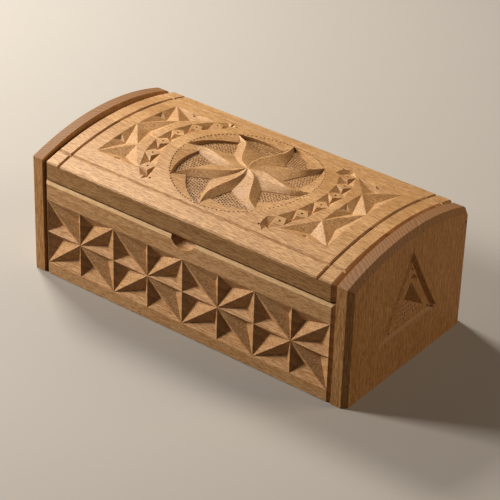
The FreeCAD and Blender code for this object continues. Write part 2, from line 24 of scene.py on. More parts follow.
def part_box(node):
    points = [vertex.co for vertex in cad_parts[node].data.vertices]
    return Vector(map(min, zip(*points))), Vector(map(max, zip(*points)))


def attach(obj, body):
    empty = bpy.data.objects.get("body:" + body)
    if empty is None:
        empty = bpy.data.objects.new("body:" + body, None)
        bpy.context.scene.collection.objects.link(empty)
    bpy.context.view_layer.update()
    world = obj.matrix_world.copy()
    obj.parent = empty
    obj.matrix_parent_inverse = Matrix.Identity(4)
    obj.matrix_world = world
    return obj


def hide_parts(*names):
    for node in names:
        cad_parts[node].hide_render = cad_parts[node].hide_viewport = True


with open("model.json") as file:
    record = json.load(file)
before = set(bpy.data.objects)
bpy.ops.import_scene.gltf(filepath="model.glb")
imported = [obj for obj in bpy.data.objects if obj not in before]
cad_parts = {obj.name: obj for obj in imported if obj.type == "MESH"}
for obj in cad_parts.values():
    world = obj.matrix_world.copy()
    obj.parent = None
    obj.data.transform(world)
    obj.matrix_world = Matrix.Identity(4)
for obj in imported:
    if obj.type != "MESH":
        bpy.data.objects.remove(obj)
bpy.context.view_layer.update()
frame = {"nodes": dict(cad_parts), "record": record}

log = logging.getLogger("puzzle_box")

Spot = tuple[float, float]
Line = list[Spot]
Lift = Callable[[float, float, float], Vector]

MM = 0.001
# Areas of painted light reach this far past the places on their rim, in millimetres
EDGE = 0.01
# Cutters and grooves run this far past the wood that they cut, in millimetres
PAST = 1.0
# Places of a face that are closer than this become one, in millimetres
SAME_PLACE = 1e-4
# Depths that differ by less than this are the same, in millimetres
SAME_DEPTH = 1e-6
# Keeps a division by the square of a length of 0 from failing
NO_LENGTH = 1e-12
# Triangles with a smaller area than this are only lines, in square millimetres
NO_AREA = 1e-9
# Sides whose directions make a smaller area than this run straight on
STRAIGHT_ON = 1e-7
# A weight may be this far below 0 at a triangle's side
SLACK = 1e-5
# A side this close to a hole's rim lies on it, in millimetres
ON_RIM = 1e-3
# Tiles are welded to a board over gaps up to this, in millimetres
WELD = 0.02
# Longest piece of a cut's line, in millimetres
STEP = 4.0
# Longest piece of a rim that needs no places between its corners, in millimetres
UNDIVIDED = 60.0
# Rows of a staggered pattern lie this share of its spacing apart
ROW_SHARE = 0.87
# Radians that a wave texture turns through in one unit at a scale of 1
WAVE_RATE = 20
# Faces that meet at more than this angle keep a crisp edge
CRISP_ANGLE = math.radians(14)


def to_linear(code: str) -> tuple[float, float, float, float]:
    """Turn an sRGB hex colour into linear light.

    Args:
        code: Colour such as "#b08257".

    Returns:
        Linear red, green, blue and an alpha of 1.
    """
    parts = [int(code[start:start + 2], 16) / 255 for start in (1, 3, 5)]
    red, green, blue = [
        part / 12.92 if part <= 0.04045 else ((part + 0.055) / 1.055) ** 2.4 for part in parts]
    return red, green, blue, 1.0


def add_node(tree: bpy.types.NodeTree, kind: str, settings: dict[str, Any] | None = None,
             inputs: dict[int | str, Any] | None = None) -> bpy.types.Node:
    """Add a node, set its options and fill or link its inputs.

    Args:
        tree: Tree that gets the node.
        kind: Node's type name.
        settings: Options of the node by attribute name.
        inputs: Values or output sockets by input name or number.

    Returns:
        The new node.
    """
    node = tree.nodes.new(kind)
    for name, value in (settings or {}).items():
        setattr(node, name, value)
    for key, value in (inputs or {}).items():
        if isinstance(value, bpy.types.NodeSocket):
            tree.links.new(value, node.inputs[key])
        else:
            node.inputs[key].default_value = value
    return node


def box_mm(node: str) -> tuple[Vector, Vector]:
    """Low and high corner of a solid's box, in millimetres."""
    low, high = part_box(node)
    return low / MM, high / MM


def closed(ring: Sequence[Spot]) -> Line:
    """Outline that ends where it starts."""
    return [*ring, *ring[:1]]


def pairs(ring: Sequence[Spot]) -> Iterator[tuple[Spot, Spot]]:
    """Each side of a closed outline."""
    return zip(ring, closed(ring)[1:])


def between(a: Spot, b: Spot, share: float) -> Spot:
    """Place at a share of the way from a to b."""
    return a[0] + (b[0] - a[0]) * share, a[1] + (b[1] - a[1]) * share


def polar(radius: float, degrees: float, centre: Spot = (0.0, 0.0)) -> Spot:
    """Place at a radius and angle about a centre."""
    angle = math.radians(degrees)
    return centre[0] + radius * math.cos(angle), centre[1] + radius * math.sin(angle)


def arc(radius: float, start: float, sweep: float, pieces: int, centre: Spot = (0.0, 0.0)) -> Line:
    """Places along an arc, both ends included, from a start angle through a sweep in degrees."""
    return [polar(radius, start + sweep * number / pieces, centre) for number in range(pieces + 1)]


def left_of(a: Spot, b: Spot) -> Spot:
    """Direction to the left of the way from a to b."""
    length = math.dist(a, b)
    return -(b[1] - a[1]) / length, (b[0] - a[0]) / length


def turned(spot: Spot, degrees: float) -> Spot:
    """Place turned about the origin."""
    c, s = math.cos(math.radians(degrees)), math.sin(math.radians(degrees))
    return spot[0] * c - spot[1] * s, spot[0] * s + spot[1] * c


def stepped(line: Line, step: float) -> Line:
    """Add places to a line so that none of its pieces is longer than a step.

    Args:
        line: Corners of an open line.
        step: Longest piece allowed.

    Returns:
        The line with the added places.
    """
    result = line[:1]
    for a, b in zip(line, line[1:]):
        count = max(1, math.ceil(math.dist(a, b) / step))
        result += [between(a, b, number / count) for number in range(1, count + 1)]
    return result


def smooth_line(controls: Sequence[Spot], count: int) -> Line:
    """Smooth curve through control places.

    Args:
        controls: Places that the curve passes through.
        count: Pieces between one control and the next.

    Returns:
        Places along the curve, both ends included.
    """
    padded = [controls[0], *controls, controls[-1]]
    result: Line = []
    for p0, p1, p2, p3 in zip(padded, padded[1:], padded[2:], padded[3:]):
        for number in range(count):
            t = number / count
            weights = (
                (-t ** 3 + 2 * t ** 2 - t) / 2,
                (3 * t ** 3 - 5 * t ** 2 + 2) / 2,
                (-3 * t ** 3 + 4 * t ** 2 + t) / 2,
                (t ** 3 - t ** 2) / 2,
            )
            spots = (p0, p1, p2, p3)
            result.append(tuple(sum(w * s[axis] for w, s in zip(weights, spots)) for axis in (0, 1)))
    return result + [controls[-1]]


def inside(ring: Sequence[Spot], at: Spot) -> bool:
    """Whether a place lies within a closed outline."""
    hit = False
    for (ax, ay), (bx, by) in pairs(ring):
        if (ay > at[1]) != (by > at[1]) and at[0] < (bx - ax) * (at[1] - ay) / (by - ay) + ax:
            hit = not hit
    return hit


def distance_to(line: Sequence[Spot], at: Spot) -> float:
    """Distance from a place to the nearest point of an open line."""
    nearest = math.inf
    for (ax, ay), (bx, by) in zip(line, line[1:]):
        dx, dy = bx - ax, by - ay
        share = ((at[0] - ax) * dx + (at[1] - ay) * dy) / max(dx * dx + dy * dy, NO_LENGTH)
        share = min(1.0, max(0.0, share))
        nearest = min(nearest, math.hypot(at[0] - ax - dx * share, at[1] - ay - dy * share))
    return nearest


def shares_in(at: Spot, a: Spot, b: Spot, c: Spot) -> tuple[float, float, float] | None:
    """Weights of a triangle's corners at a place.

    Args:
        at: Place to weigh.
        a: First corner.
        b: Second corner.
        c: Third corner.

    Returns:
        Three weights that add up to 1, or None outside the triangle.
    """
    area = (b[0] - a[0]) * (c[1] - a[1]) - (c[0] - a[0]) * (b[1] - a[1])
    if abs(area) < NO_AREA:
        return None
    wb = ((at[0] - a[0]) * (c[1] - a[1]) - (c[0] - a[0]) * (at[1] - a[1])) / area
    wc = ((b[0] - a[0]) * (at[1] - a[1]) - (at[0] - a[0]) * (b[1] - a[1])) / area
    weights = (1 - wb - wc, wb, wc)
    return weights if min(weights) > -SLACK else None


def incentre(a: Spot, b: Spot, c: Spot) -> Spot:
    """Place in a triangle that is equally far from its sides."""
    sides = (math.dist(b, c), math.dist(c, a), math.dist(a, b))
    return tuple(sum(s * p[axis] for s, p in zip(sides, (a, b, c))) / sum(sides) for axis in (0, 1))


class Cut(ABC):
    """Something cut into a face, as a depth below it."""

    @abstractmethod
    def lines(self) -> list[Line]:
        """Lines where the cut's slope changes."""

    @abstractmethod
    def depth(self, at: Spot) -> float:
        """Depth at a place."""


@dataclass
class Chip(Cut):
    """Carver's chip: facets fall from a rim to one deepest place."""

    rim: Line
    deep: Spot
    sunk: float
    step: float = STEP

    def lines(self) -> list[Line]:
        """Rim, and a valley from each of its corners."""
        return [stepped(closed(self.rim), self.step)] + [[corner, self.deep] for corner in self.rim]

    def depth(self, at: Spot) -> float:
        """Depth at a place, by the facet that it lies on."""
        for a, b in pairs(self.rim):
            weights = shares_in(at, self.deep, a, b)
            if weights:
                return self.sunk * max(0.0, weights[0])
        return 0.0


def chip(rim: Line, deep: Spot, sunk: float, ridge: float, step: float = STEP) -> Chip:
    """Chip whose rim stands back from its neighbours, so that a narrow flat stays on the ridge.

    Args:
        rim: Corners shared with the neighbours.
        deep: Deepest place.
        sunk: Depth there.
        ridge: Share of each corner's reach that is kept as a flat.
        step: Longest piece of the rim.

    Returns:
        The chip.
    """
    return Chip([between(corner, deep, ridge) for corner in rim], deep, sunk, step)


@dataclass
class Groove(Cut):
    """Straight V groove."""

    start: Spot
    end: Spot
    width: float
    sunk: float
    step: float = STEP

    def lines(self) -> list[Line]:
        """Both rims and the valley."""
        side = left_of(self.start, self.end)
        result = []
        for offset in (-self.width / 2, 0.0, self.width / 2):
            ends = [(p[0] + side[0] * offset, p[1] + side[1] * offset) for p in (self.start, self.end)]
            result.append(stepped(ends, self.step))
        return result

    def depth(self, at: Spot) -> float:
        """Depth at a place, least at the rims."""
        away = distance_to([self.start, self.end], at)
        return max(0.0, self.sunk * (1 - away / (self.width / 2)))


@dataclass
class Stroke(Cut):
    """Long chip whose valley runs from tip to tip, nearer to one of its rims."""

    outer: Line
    inner: Line
    lean: float
    sunk: float
    valley: Line = field(init=False)
    deep: list[float] = field(init=False)

    def __post_init__(self) -> None:
        """Place the valley, which is deepest where the stroke is widest."""
        self.valley = [between(a, b, self.lean) for a, b in zip(self.outer, self.inner)]
        widths = [math.dist(a, b) for a, b in zip(self.outer, self.inner)]
        self.deep = [self.sunk * width / max(widths) for width in widths]

    def lines(self) -> list[Line]:
        """Both rims and the valley."""
        return [self.outer, self.valley, self.inner]

    def depth(self, at: Spot) -> float:
        """Depth at a place, by the facet that it lies on."""
        for rim in (self.outer, self.inner):
            for n, (a, b, c, d) in enumerate(zip(rim, rim[1:], self.valley, self.valley[1:])):
                weights = shares_in(at, a, b, c)
                if weights:
                    return max(0.0, weights[2]) * self.deep[n]
                weights = shares_in(at, b, d, c)
                if weights:
                    return max(0.0, weights[1]) * self.deep[n + 1] + max(0.0, weights[2]) * self.deep[n]
        return 0.0


@dataclass
class EdgeBevel(Cut):
    """Flat bevels along the sides of an outline that bulges outwards everywhere."""

    outline: Line
    widths: Sequence[float]
    slopes: Sequence[float] = ()
    step: float = 5.0

    def _inner_corner(self, number: int) -> Spot:
        """Where the inner edges of two neighbouring bevels meet."""
        ring = self.outline
        a, b, c = ring[number - 1], ring[number], ring[(number + 1) % len(ring)]
        rows = []
        for (p, q), width in (((a, b), self.widths[number - 1]), ((b, c), self.widths[number])):
            normal = left_of(p, q)
            rows.append((normal[0], normal[1], normal[0] * p[0] + normal[1] * p[1] + width))
        (n1, m1, d1), (n2, m2, d2) = rows
        area = n1 * m2 - n2 * m1
        if abs(area) < STRAIGHT_ON:
            return b[0] + n1 * self.widths[number], b[1] + m1 * self.widths[number]
        return (d1 * m2 - d2 * m1) / area, (n1 * d2 - n2 * d1) / area

    def lines(self) -> list[Line]:
        """Inner edge of the bevels, and the mitres at their corners."""
        inner = [self._inner_corner(number) for number in range(len(self.outline))]
        return [stepped(closed(inner), self.step)] + [[a, b] for a, b in zip(self.outline, inner)]

    def depth(self, at: Spot) -> float:
        """Depth at a place, by the nearest bevel."""
        deepest = 0.0
        slopes = self.slopes or [1.0] * len(self.widths)
        for (a, b), width, slope in zip(pairs(self.outline), self.widths, slopes):
            if width:
                length = math.dist(a, b)
                away = ((b[0] - a[0]) * (at[1] - a[1]) - (b[1] - a[1]) * (at[0] - a[0])) / length
                deepest = max(deepest, slope * (width - away))
        return deepest


@dataclass
class Scoop(Cut):
    """Hollow cut by a ball whose middle stands in front of the face."""

    centre: Spot
    in_front: float
    radius: float
    limit: float
    other: Cut
    turn_step: int = 6
    halvings: int = 40
    ring_shares: tuple[float, ...] = (0.35, 0.55, 0.7, 0.8, 0.9, 0.96, 1.0)

    def lines(self) -> list[Line]:
        """Edge of the hollow, found by halving, and rings down its wall."""
        rim: Line = []
        for degrees in range(-180, 1, self.turn_step):
            low, high = 0.0, self.radius
            for _ in range(self.halvings):
                middle = (low + high) / 2
                at = polar(middle, degrees, self.centre)
                if self.depth(at) > self.other.depth(at):
                    low = middle
                else:
                    high = middle
            rim.append(polar(low, degrees, self.centre))
        rings = [[between(self.centre, at, share) for at in rim] for share in self.ring_shares]
        kept = [[at for at in ring if at[1] < self.limit] for ring in rings]
        return [ring for ring in kept if len(ring) > 1]

    def depth(self, at: Spot) -> float:
        """Depth at a place, down to the far side of the ball."""
        left = self.radius ** 2 - math.dist(at, self.centre) ** 2
        return max(0.0, math.sqrt(left) - self.in_front) if left > 0 else 0.0


@dataclass
class Whirl(Cut):
    """Sunk ground of the rosette with ridged, S-curved blades left standing in it.

    Blade curves are in shares of the radius, and crescents in shares of it at angles in degrees.
    """

    radius: float = 46.8
    floor: float = 2.7
    dish: float = 2.3
    dish_edge: float = 0.86
    wall: float = 0.3
    crescent_slope: float = 0.17
    blades: int = 8
    ridge_drop: float = 0.2
    foot_height: float = 0.14
    hub: float = 1.2
    ridge_controls: tuple[Spot, ...] = (
        (0.0, 0.0), (0.18, 0.045), (0.35, 0.025), (0.55, -0.035), (0.75, -0.07), (1.03, 0.01))
    left_controls: tuple[Spot, ...] = (
        (0.0, -0.20), (0.2, -0.22), (0.42, -0.25), (0.58, -0.195), (0.75, -0.14), (1.02, -0.01))
    right_controls: tuple[Spot, ...] = (
        (0.0, 0.09), (0.2, 0.14), (0.36, 0.135), (0.49, 0.11), (0.74, 0.03), (1.02, 0.03))
    crescent_controls: tuple[Spot, ...] = ((0.79, 1.5), (0.855, 17.0), (0.93, 32.0), (1.0, 45.0))
    crescent_tip_controls: tuple[Spot, ...] = ((1.0, 0.0), (0.90, -0.6), (0.79, 1.5))
    curve_pieces: int = 6
    ground_pieces: int = 8
    seam_steps: int = 40
    valley_steps: int = 60
    step: float = field(init=False)
    ridge: Line = field(init=False)
    facets: list[tuple[Line, Line]] = field(init=False)
    ground: Line = field(init=False)

    def __post_init__(self) -> None:
        """Work out the blades' facets and the ground's outline."""
        self.step = 360 / self.blades
        self.ridge = self.curve(self.ridge_controls)
        last = (self.ridge, self.curve(self.left_controls))
        self.facets = [
            (self.ridge, self.curve(self.right_controls)),
            tuple([turned(spot, self.step) for spot in line] for line in last),
        ]
        self.ground = []
        for number in range(self.blades):
            for controls in (self.crescent_tip_controls, self.crescent_controls):
                spots = [polar(share * self.radius, number * self.step + angle) for share, angle in controls]
                self.ground += smooth_line(spots, self.ground_pieces)[:-1]

    def curve(self, controls: Sequence[Spot]) -> Line:
        """Smooth line through shares of the radius."""
        return smooth_line([(a * self.radius, b * self.radius) for a, b in controls], self.curve_pieces)

    def blade_height(self, number: int, at: Spot) -> float:
        """How far up a blade's facet a place lies.

        Args:
            number: 0 for the facet beside the sector's first ridge, 1 for its last.
            at: Place to test.

        Returns:
            1 on the ridge, the foot's height at the foot and 0 beyond it.
        """
        ridge, foot = self.facets[number]
        for a, b, c, d in zip(ridge, ridge[1:], foot, foot[1:]):
            weights = shares_in(at, a, b, c)
            if weights:
                return 1 - weights[2] * (1 - self.foot_height)
            weights = shares_in(at, b, d, c)
            if weights:
                return 1 - (1 - weights[0]) * (1 - self.foot_height)
        return 0.0

    def ground_depth(self, at: Spot) -> float:
        """Depth of the ground, which dips towards the middle."""
        return self.floor + self.dish * max(0.0, self.dish_edge - math.hypot(*at) / self.radius)

    def height(self, at: Spot) -> float:
        """How far a place stands above the ground, as a share of the blades' height."""
        if math.hypot(*at) <= self.hub:
            return 1.0
        return max(self.blade_height(0, at), self.blade_height(1, at))

    def base(self, at: Spot) -> float:
        """Depth without the blades: the sloping crescents, a steep wall and the ground."""
        slope = max(0.0, self.radius - math.hypot(*at)) * self.crescent_slope
        if not inside(self.ground, at):
            return slope
        wall = min(1.0, distance_to(closed(self.ground), at) / self.wall)
        return slope + (self.ground_depth(at) - slope) * wall

    def blade_depth(self, at: Spot) -> float:
        """Depth of the blades alone, as deep as the ground away from them."""
        ground = self.ground_depth(at)
        return ground - (ground - self.ridge_drop) * self.height(at)

    def seam(self, number: int) -> Line:
        """Line where a blade's facet meets what lies beside it.

        Args:
            number: 0 for the facet beside the sector's first ridge, 1 for its last.

        Returns:
            Places from the middle to the blade's tip.
        """
        result: Line = []
        for top, foot in zip(*self.facets[number]):
            steps = [between(top, foot, count / self.seam_steps) for count in range(self.seam_steps + 1)]
            meeting = next((at for at in steps[1:-1] if self.blade_depth(at) >= self.base(at)), None)
            if meeting and math.hypot(*top) < self.radius:
                result.append(meeting)
        return result

    def valley(self) -> Line:
        """Line where two neighbouring blades meet near the middle."""
        result: Line = []
        for a, b in zip(self.facets[0][0], self.facets[1][0]):
            for number in range(1, self.valley_steps):
                spot = between(a, b, number / self.valley_steps)
                first, last = self.blade_height(0, spot), self.blade_height(1, spot)
                if 0 < first < last or (0 < last and first <= 0):
                    if first > 0:
                        result.append(spot)
                    break
        return result

    def lines(self) -> list[Line]:
        """Wall, feet, valley and ridges within one sector and a little beyond."""
        ring = closed(self.ground)
        inner = [between(at, (0.0, 0.0), self.wall / math.hypot(*at)) for at in ring]
        result = [ring, inner, arc(self.radius, -20, 90, 45), self.valley()]
        for ridge, foot in self.facets:
            reaches = [1 + self.wall / max(math.dist(top, at), 1.0) for top, at in zip(ridge, foot)]
            outer = [between(top, at, reach) for top, at, reach in zip(ridge, foot, reaches)]
            result += [foot, outer]
        result += [seam for seam in (self.seam(0), self.seam(1)) if len(seam) > 1]
        return result + [arc(self.hub, -15, 105, 7)]

    def depth(self, at: Spot) -> float:
        """Depth at a place: a blade where it stands above what lies beside it."""
        return min(self.base(at), self.blade_depth(at)) if math.hypot(*at) < self.radius else 0.0


@dataclass
class Dot:
    """Small round mark punched with a blunt point."""

    centre: Spot
    radius: float
    sunk: float
    sides: int = 6
    # Painted shade at the mark's middle, darkening the pit
    shade: float = 1.0

    def ring(self) -> Line:
        """Closed rim of the mark."""
        return arc(self.radius, 0, 360, self.sides, self.centre)


def punch(at: Spot) -> Dot:
    """Single large mark of the punch."""
    return Dot(at, radius=0.8, sunk=0.7, sides=8)


@dataclass(frozen=True)
class Stipple:
    """Ground punched by hand in staggered rows, each mark a little astray."""

    seed: int
    columns: range
    rows: int
    spacing: float
    stray: float
    radius: float
    sunk: float
    # Painted shade at the middle of each mark
    shade: float = 1.0

    def dots(self, start: Spot) -> Iterator[Dot]:
        """Punch the ground column by column.

        Args:
            start: Place of the first row's mark in column 0.

        Returns:
            The marks.
        """
        hand = random.Random(self.seed)
        for i in self.columns:
            for j in range(self.rows):
                u = i * self.spacing + (j % 2) * self.spacing / 2 + start[0]
                u += hand.uniform(-self.stray, self.stray)
                v = start[1] + j * self.spacing * ROW_SHARE
                v += hand.uniform(-self.stray, self.stray)
                yield Dot((u, v), self.radius, self.sunk, shade=self.shade)


@dataclass
class Nick:
    """Small chip taken out of a larger chip's edge."""

    rim: Line
    deep: Spot
    sunk: float


@dataclass
class CarvedFace:
    """Face of a board as a height field: an outline, what is cut into it and the marks on it."""

    outline: Line
    cuts: list[Cut]
    dots: list[Dot] = field(default_factory=list)
    nicks: list[Nick] = field(default_factory=list)
    guides: list[Line] = field(default_factory=list)
    hole: Line = field(default_factory=list)
    fill: Line = field(default_factory=list)
    # Areas with a painted highlight (below 0) or painted shade (above 0)
    painted_areas: list[tuple[Line, float]] = field(default_factory=list)
    # Painted shade per millimetre of depth, darker in deep cuts as if in shadow
    depth_shade: float = 0.0
    fill_room: float = 1.2

    def depth(self, at: Spot) -> float:
        """Deepest cut at a place."""
        return max((cut.depth(at) for cut in self.cuts), default=0.0)

    def cut_lines(self) -> list[Line]:
        """Lines of all cuts, then the guides."""
        return [line for cut in self.cuts for line in cut.lines()] + self.guides

    def clear(self, at: Spot, room: float, lines: list[Line]) -> bool:
        """Whether a place is uncut and stands clear of all lines."""
        return self.depth(at) == 0 and all(distance_to(line, at) > room for line in lines)

    def add_fill(self, step_u: float, step_v: float) -> None:
        """Spread places over the plain parts, so that a bent face stays smooth.

        Args:
            step_u: Spacing along the first axis.
            step_v: Spacing along the second axis.
        """
        lines = self.cut_lines() + [closed(self.outline)] + [dot.ring() for dot in self.dots]
        if self.hole:
            lines.append(closed(self.hole))
        low = [min(spot[axis] for spot in self.outline) for axis in (0, 1)]
        high = [max(spot[axis] for spot in self.outline) for axis in (0, 1)]
        for i in range(int((high[0] - low[0]) / step_u) + 1):
            for j in range(int((high[1] - low[1]) / step_v) + 1):
                at = (low[0] + i * step_u, low[1] + j * step_v)
                if self.clear(at, self.fill_room, lines):
                    self.fill.append(at)

    def triangles(self) -> tuple[Line, list[tuple[int, ...]], list[float], list[float]]:
        """Cut the face into triangles along all its lines.

        Returns:
            Places, triangles, and the depth and painted light at each place.
        """
        spots: list[Vector] = []
        edges: list[tuple[int, int]] = []
        extra: list[float] = []
        dark: list[float] = []

        def draw(line: Line, sunk: Sequence[float] = (), mark: float = 0.0) -> None:
            """Add a line, with depths beyond the cuts' own and a mark of painted shade where given."""
            first = len(spots)
            spots.extend(Vector(spot) for spot in line)
            extra.extend(sunk or [0.0] * len(line))
            dark.extend([mark] * len(line))
            edges.extend((number, number + 1) for number in range(first, len(spots) - 1))

        draw(closed(self.outline))
        if self.hole:
            draw(closed(self.hole))
        for line in self.cut_lines():
            draw(line)
        for dot in self.dots:
            draw(dot.ring())
            draw([dot.centre], [dot.sunk], dot.shade)
        for nick in self.nicks:
            draw(closed(nick.rim))
            for corner in nick.rim:
                draw([corner, nick.deep], [0.0, nick.sunk])
        for spot in self.fill:
            draw([spot])
        places, _, faces, origins, _, _ = delaunay_2d_cdt(spots, edges, [], 0, SAME_PLACE)
        kept = []
        for face in faces:
            middle = tuple(sum(places[i][axis] for i in face) / len(face) for axis in (0, 1))
            if inside(self.outline, middle) and not (self.hole and inside(self.hole, middle)):
                kept.append(tuple(face))
        used = sorted({i for face in kept for i in face})
        number = {old: new for new, old in enumerate(used)}
        added = [max((extra[i] for i in origins[old]), default=0.0) for old in used]
        marks = [max((dark[i] for i in origins[old]), default=0.0) for old in used]
        flat = [tuple(places[old]) for old in used]
        # Painted areas set the painted light of the places inside them
        for area, wear in self.painted_areas:
            marks = [wear if inside(area, spot) else mark for spot, mark in zip(flat, marks)]
        depths = [self.depth(spot) + more for spot, more in zip(flat, added)]
        # Painted shade grows with depth, except where a painted highlight is set
        marks = [max(mark, self.depth_shade * depth) if mark >= 0 else mark for mark, depth in zip(marks, depths)]
        return flat, [tuple(number[i] for i in face) for face in kept], depths, marks


def make_object(name: str, places: Sequence[Vector], faces: Sequence[Sequence[int]],
                marks: Sequence[float] = ()) -> bpy.types.Object:
    """Put a mesh in the scene.

    Args:
        name: Piece's name.
        places: Vertices in metres.
        faces: Corner numbers of each face.
        marks: Painted light at each vertex: up to 1 for painted shade, down to -1 for a painted highlight.

    Returns:
        The object, at the origin.
    """
    mesh = bpy.data.meshes.new(name)
    mesh.from_pydata([tuple(p) for p in places], [], [tuple(f) for f in faces])
    # Each vertex's painted shade or highlight goes to the finish
    attribute = mesh.attributes.new("wear", "FLOAT", "POINT")
    if marks:
        attribute.data.foreach_set("value", marks)
    obj = bpy.data.objects.new(name, mesh)
    bpy.context.scene.collection.objects.link(obj)
    return obj


def tile_object(name: str, face: CarvedFace, lift: Lift) -> bpy.types.Object:
    """Make an open carved face that a node tree repeats."""
    flat, faces, depths, marks = face.triangles()
    return make_object(name, [lift(u, v, d) * MM for (u, v), d in zip(flat, depths)], faces, marks)


def board_object(name: str, face: CarvedFace, lift: Lift, back: Lift) -> bpy.types.Object:
    """Make a board from its carved face, with plain edges and a flat back.

    Args:
        name: Piece's name.
        face: The carved face.
        lift: Turns a place and depth into a point.
        back: The same for the point straight behind it on the back.

    Returns:
        The board, closed apart from the face's hole.
    """
    flat, faces, depths, marks = face.triangles()
    places = [lift(u, v, d) for (u, v), d in zip(flat, depths)]
    sides: dict[tuple[int, int], None] = {}
    for triangle in faces:
        sides.update(dict.fromkeys(zip(triangle, triangle[1:] + triangle[:1])))
    hole = closed(face.hole)
    follow: dict[int, int] = {}
    for a, b in sides:
        if (b, a) not in sides:
            if face.hole and distance_to(hole, between(flat[a], flat[b], 0.5)) < ON_RIM:
                continue
            follow[a] = b
    behind = {}
    for a in follow:
        behind[a] = len(places)
        places.append(back(flat[a][0], flat[a][1], 0.0))
        marks.append(0.0)
    walls = [(b, a, behind[a], behind[b]) for a, b in follow.items()]
    loop = [next(iter(follow))]
    while follow[loop[-1]] != loop[0]:
        loop.append(follow[loop[-1]])
    cap = tuple(behind[a] for a in reversed(loop))
    return make_object(name, [p * MM for p in places], [*faces, *walls, cap], marks)


def block_cutter(low: Sequence[float], high: Sequence[float]) -> bpy.types.Object:
    """Make a box-shaped cutter between two corners."""
    places = [Vector(corner) * MM for corner in itertools.product(*zip(low, high))]
    faces = [(0, 1, 3, 2), (4, 6, 7, 5), (0, 4, 5, 1), (2, 3, 7, 6), (0, 2, 6, 4), (1, 5, 7, 3)]
    return make_object("cutter", places, faces)


def prism_cutter(outline: Sequence[Sequence[float]], along: Sequence[float]) -> bpy.types.Object:
    """Make a straight cutter from a flat outline pushed along a vector."""
    low = [Vector(p) * MM for p in outline]
    high = [p + Vector(along) * MM for p in low]
    count = len(low)
    faces = [tuple(range(count)), tuple(range(2 * count - 1, count - 1, -1))]
    faces += [(i, i + count, (i + 1) % count + count, (i + 1) % count) for i in range(count)]
    obj = make_object("cutter", low + high, faces)
    shell = bmesh.new()
    shell.from_mesh(obj.data)
    bmesh.ops.recalc_face_normals(shell, faces=shell.faces)
    shell.to_mesh(obj.data)
    shell.free()
    return obj


def rod_cutter(x_low: float, x_high: float, y: float, z: float, radius: float,
               sides: int = 32) -> bpy.types.Object:
    """Make a round cutter along X."""
    ring = arc(radius, 0, 360, sides, (y, z))[:-1]
    return prism_cutter([(x_low, a, b) for a, b in ring], (x_high - x_low, 0, 0))


def settle(obj: bpy.types.Object) -> None:
    """Turn an object with live modifiers into a plain mesh."""
    shape = obj.evaluated_get(bpy.context.evaluated_depsgraph_get())
    mesh = bpy.data.meshes.new_from_object(shape)
    obj.modifiers.clear()
    old = obj.data
    obj.data = mesh
    bpy.data.meshes.remove(old)


def drop(obj: bpy.types.Object) -> None:
    """Take a helper object out of the file."""
    mesh = obj.data
    bpy.data.objects.remove(obj)
    bpy.data.meshes.remove(mesh)


def cut_away(obj: bpy.types.Object, cutters: Sequence[bpy.types.Object]) -> None:
    """Cut each cutter out of a closed board, then remove the cutters."""
    for cutter in cutters:
        joint = obj.modifiers.new("joint cut", "BOOLEAN")
        joint.operation = "DIFFERENCE"
        joint.solver = "EXACT"
        joint.object = cutter
        settle(obj)
        drop(cutter)


def new_material(name: str) -> bpy.types.Material:
    """Start a material that is made of nodes."""
    material = bpy.data.materials.new(name)
    material.use_nodes = True
    return material


class Grain(Enum):
    """Way that the wood's fibres run."""

    ALONG_LENGTH = (1.0, 0.0, 0.0)
    ACROSS_DEPTH = (0.0, 1.0, 0.0)
    UPRIGHT = (0.0, 0.0, 1.0)


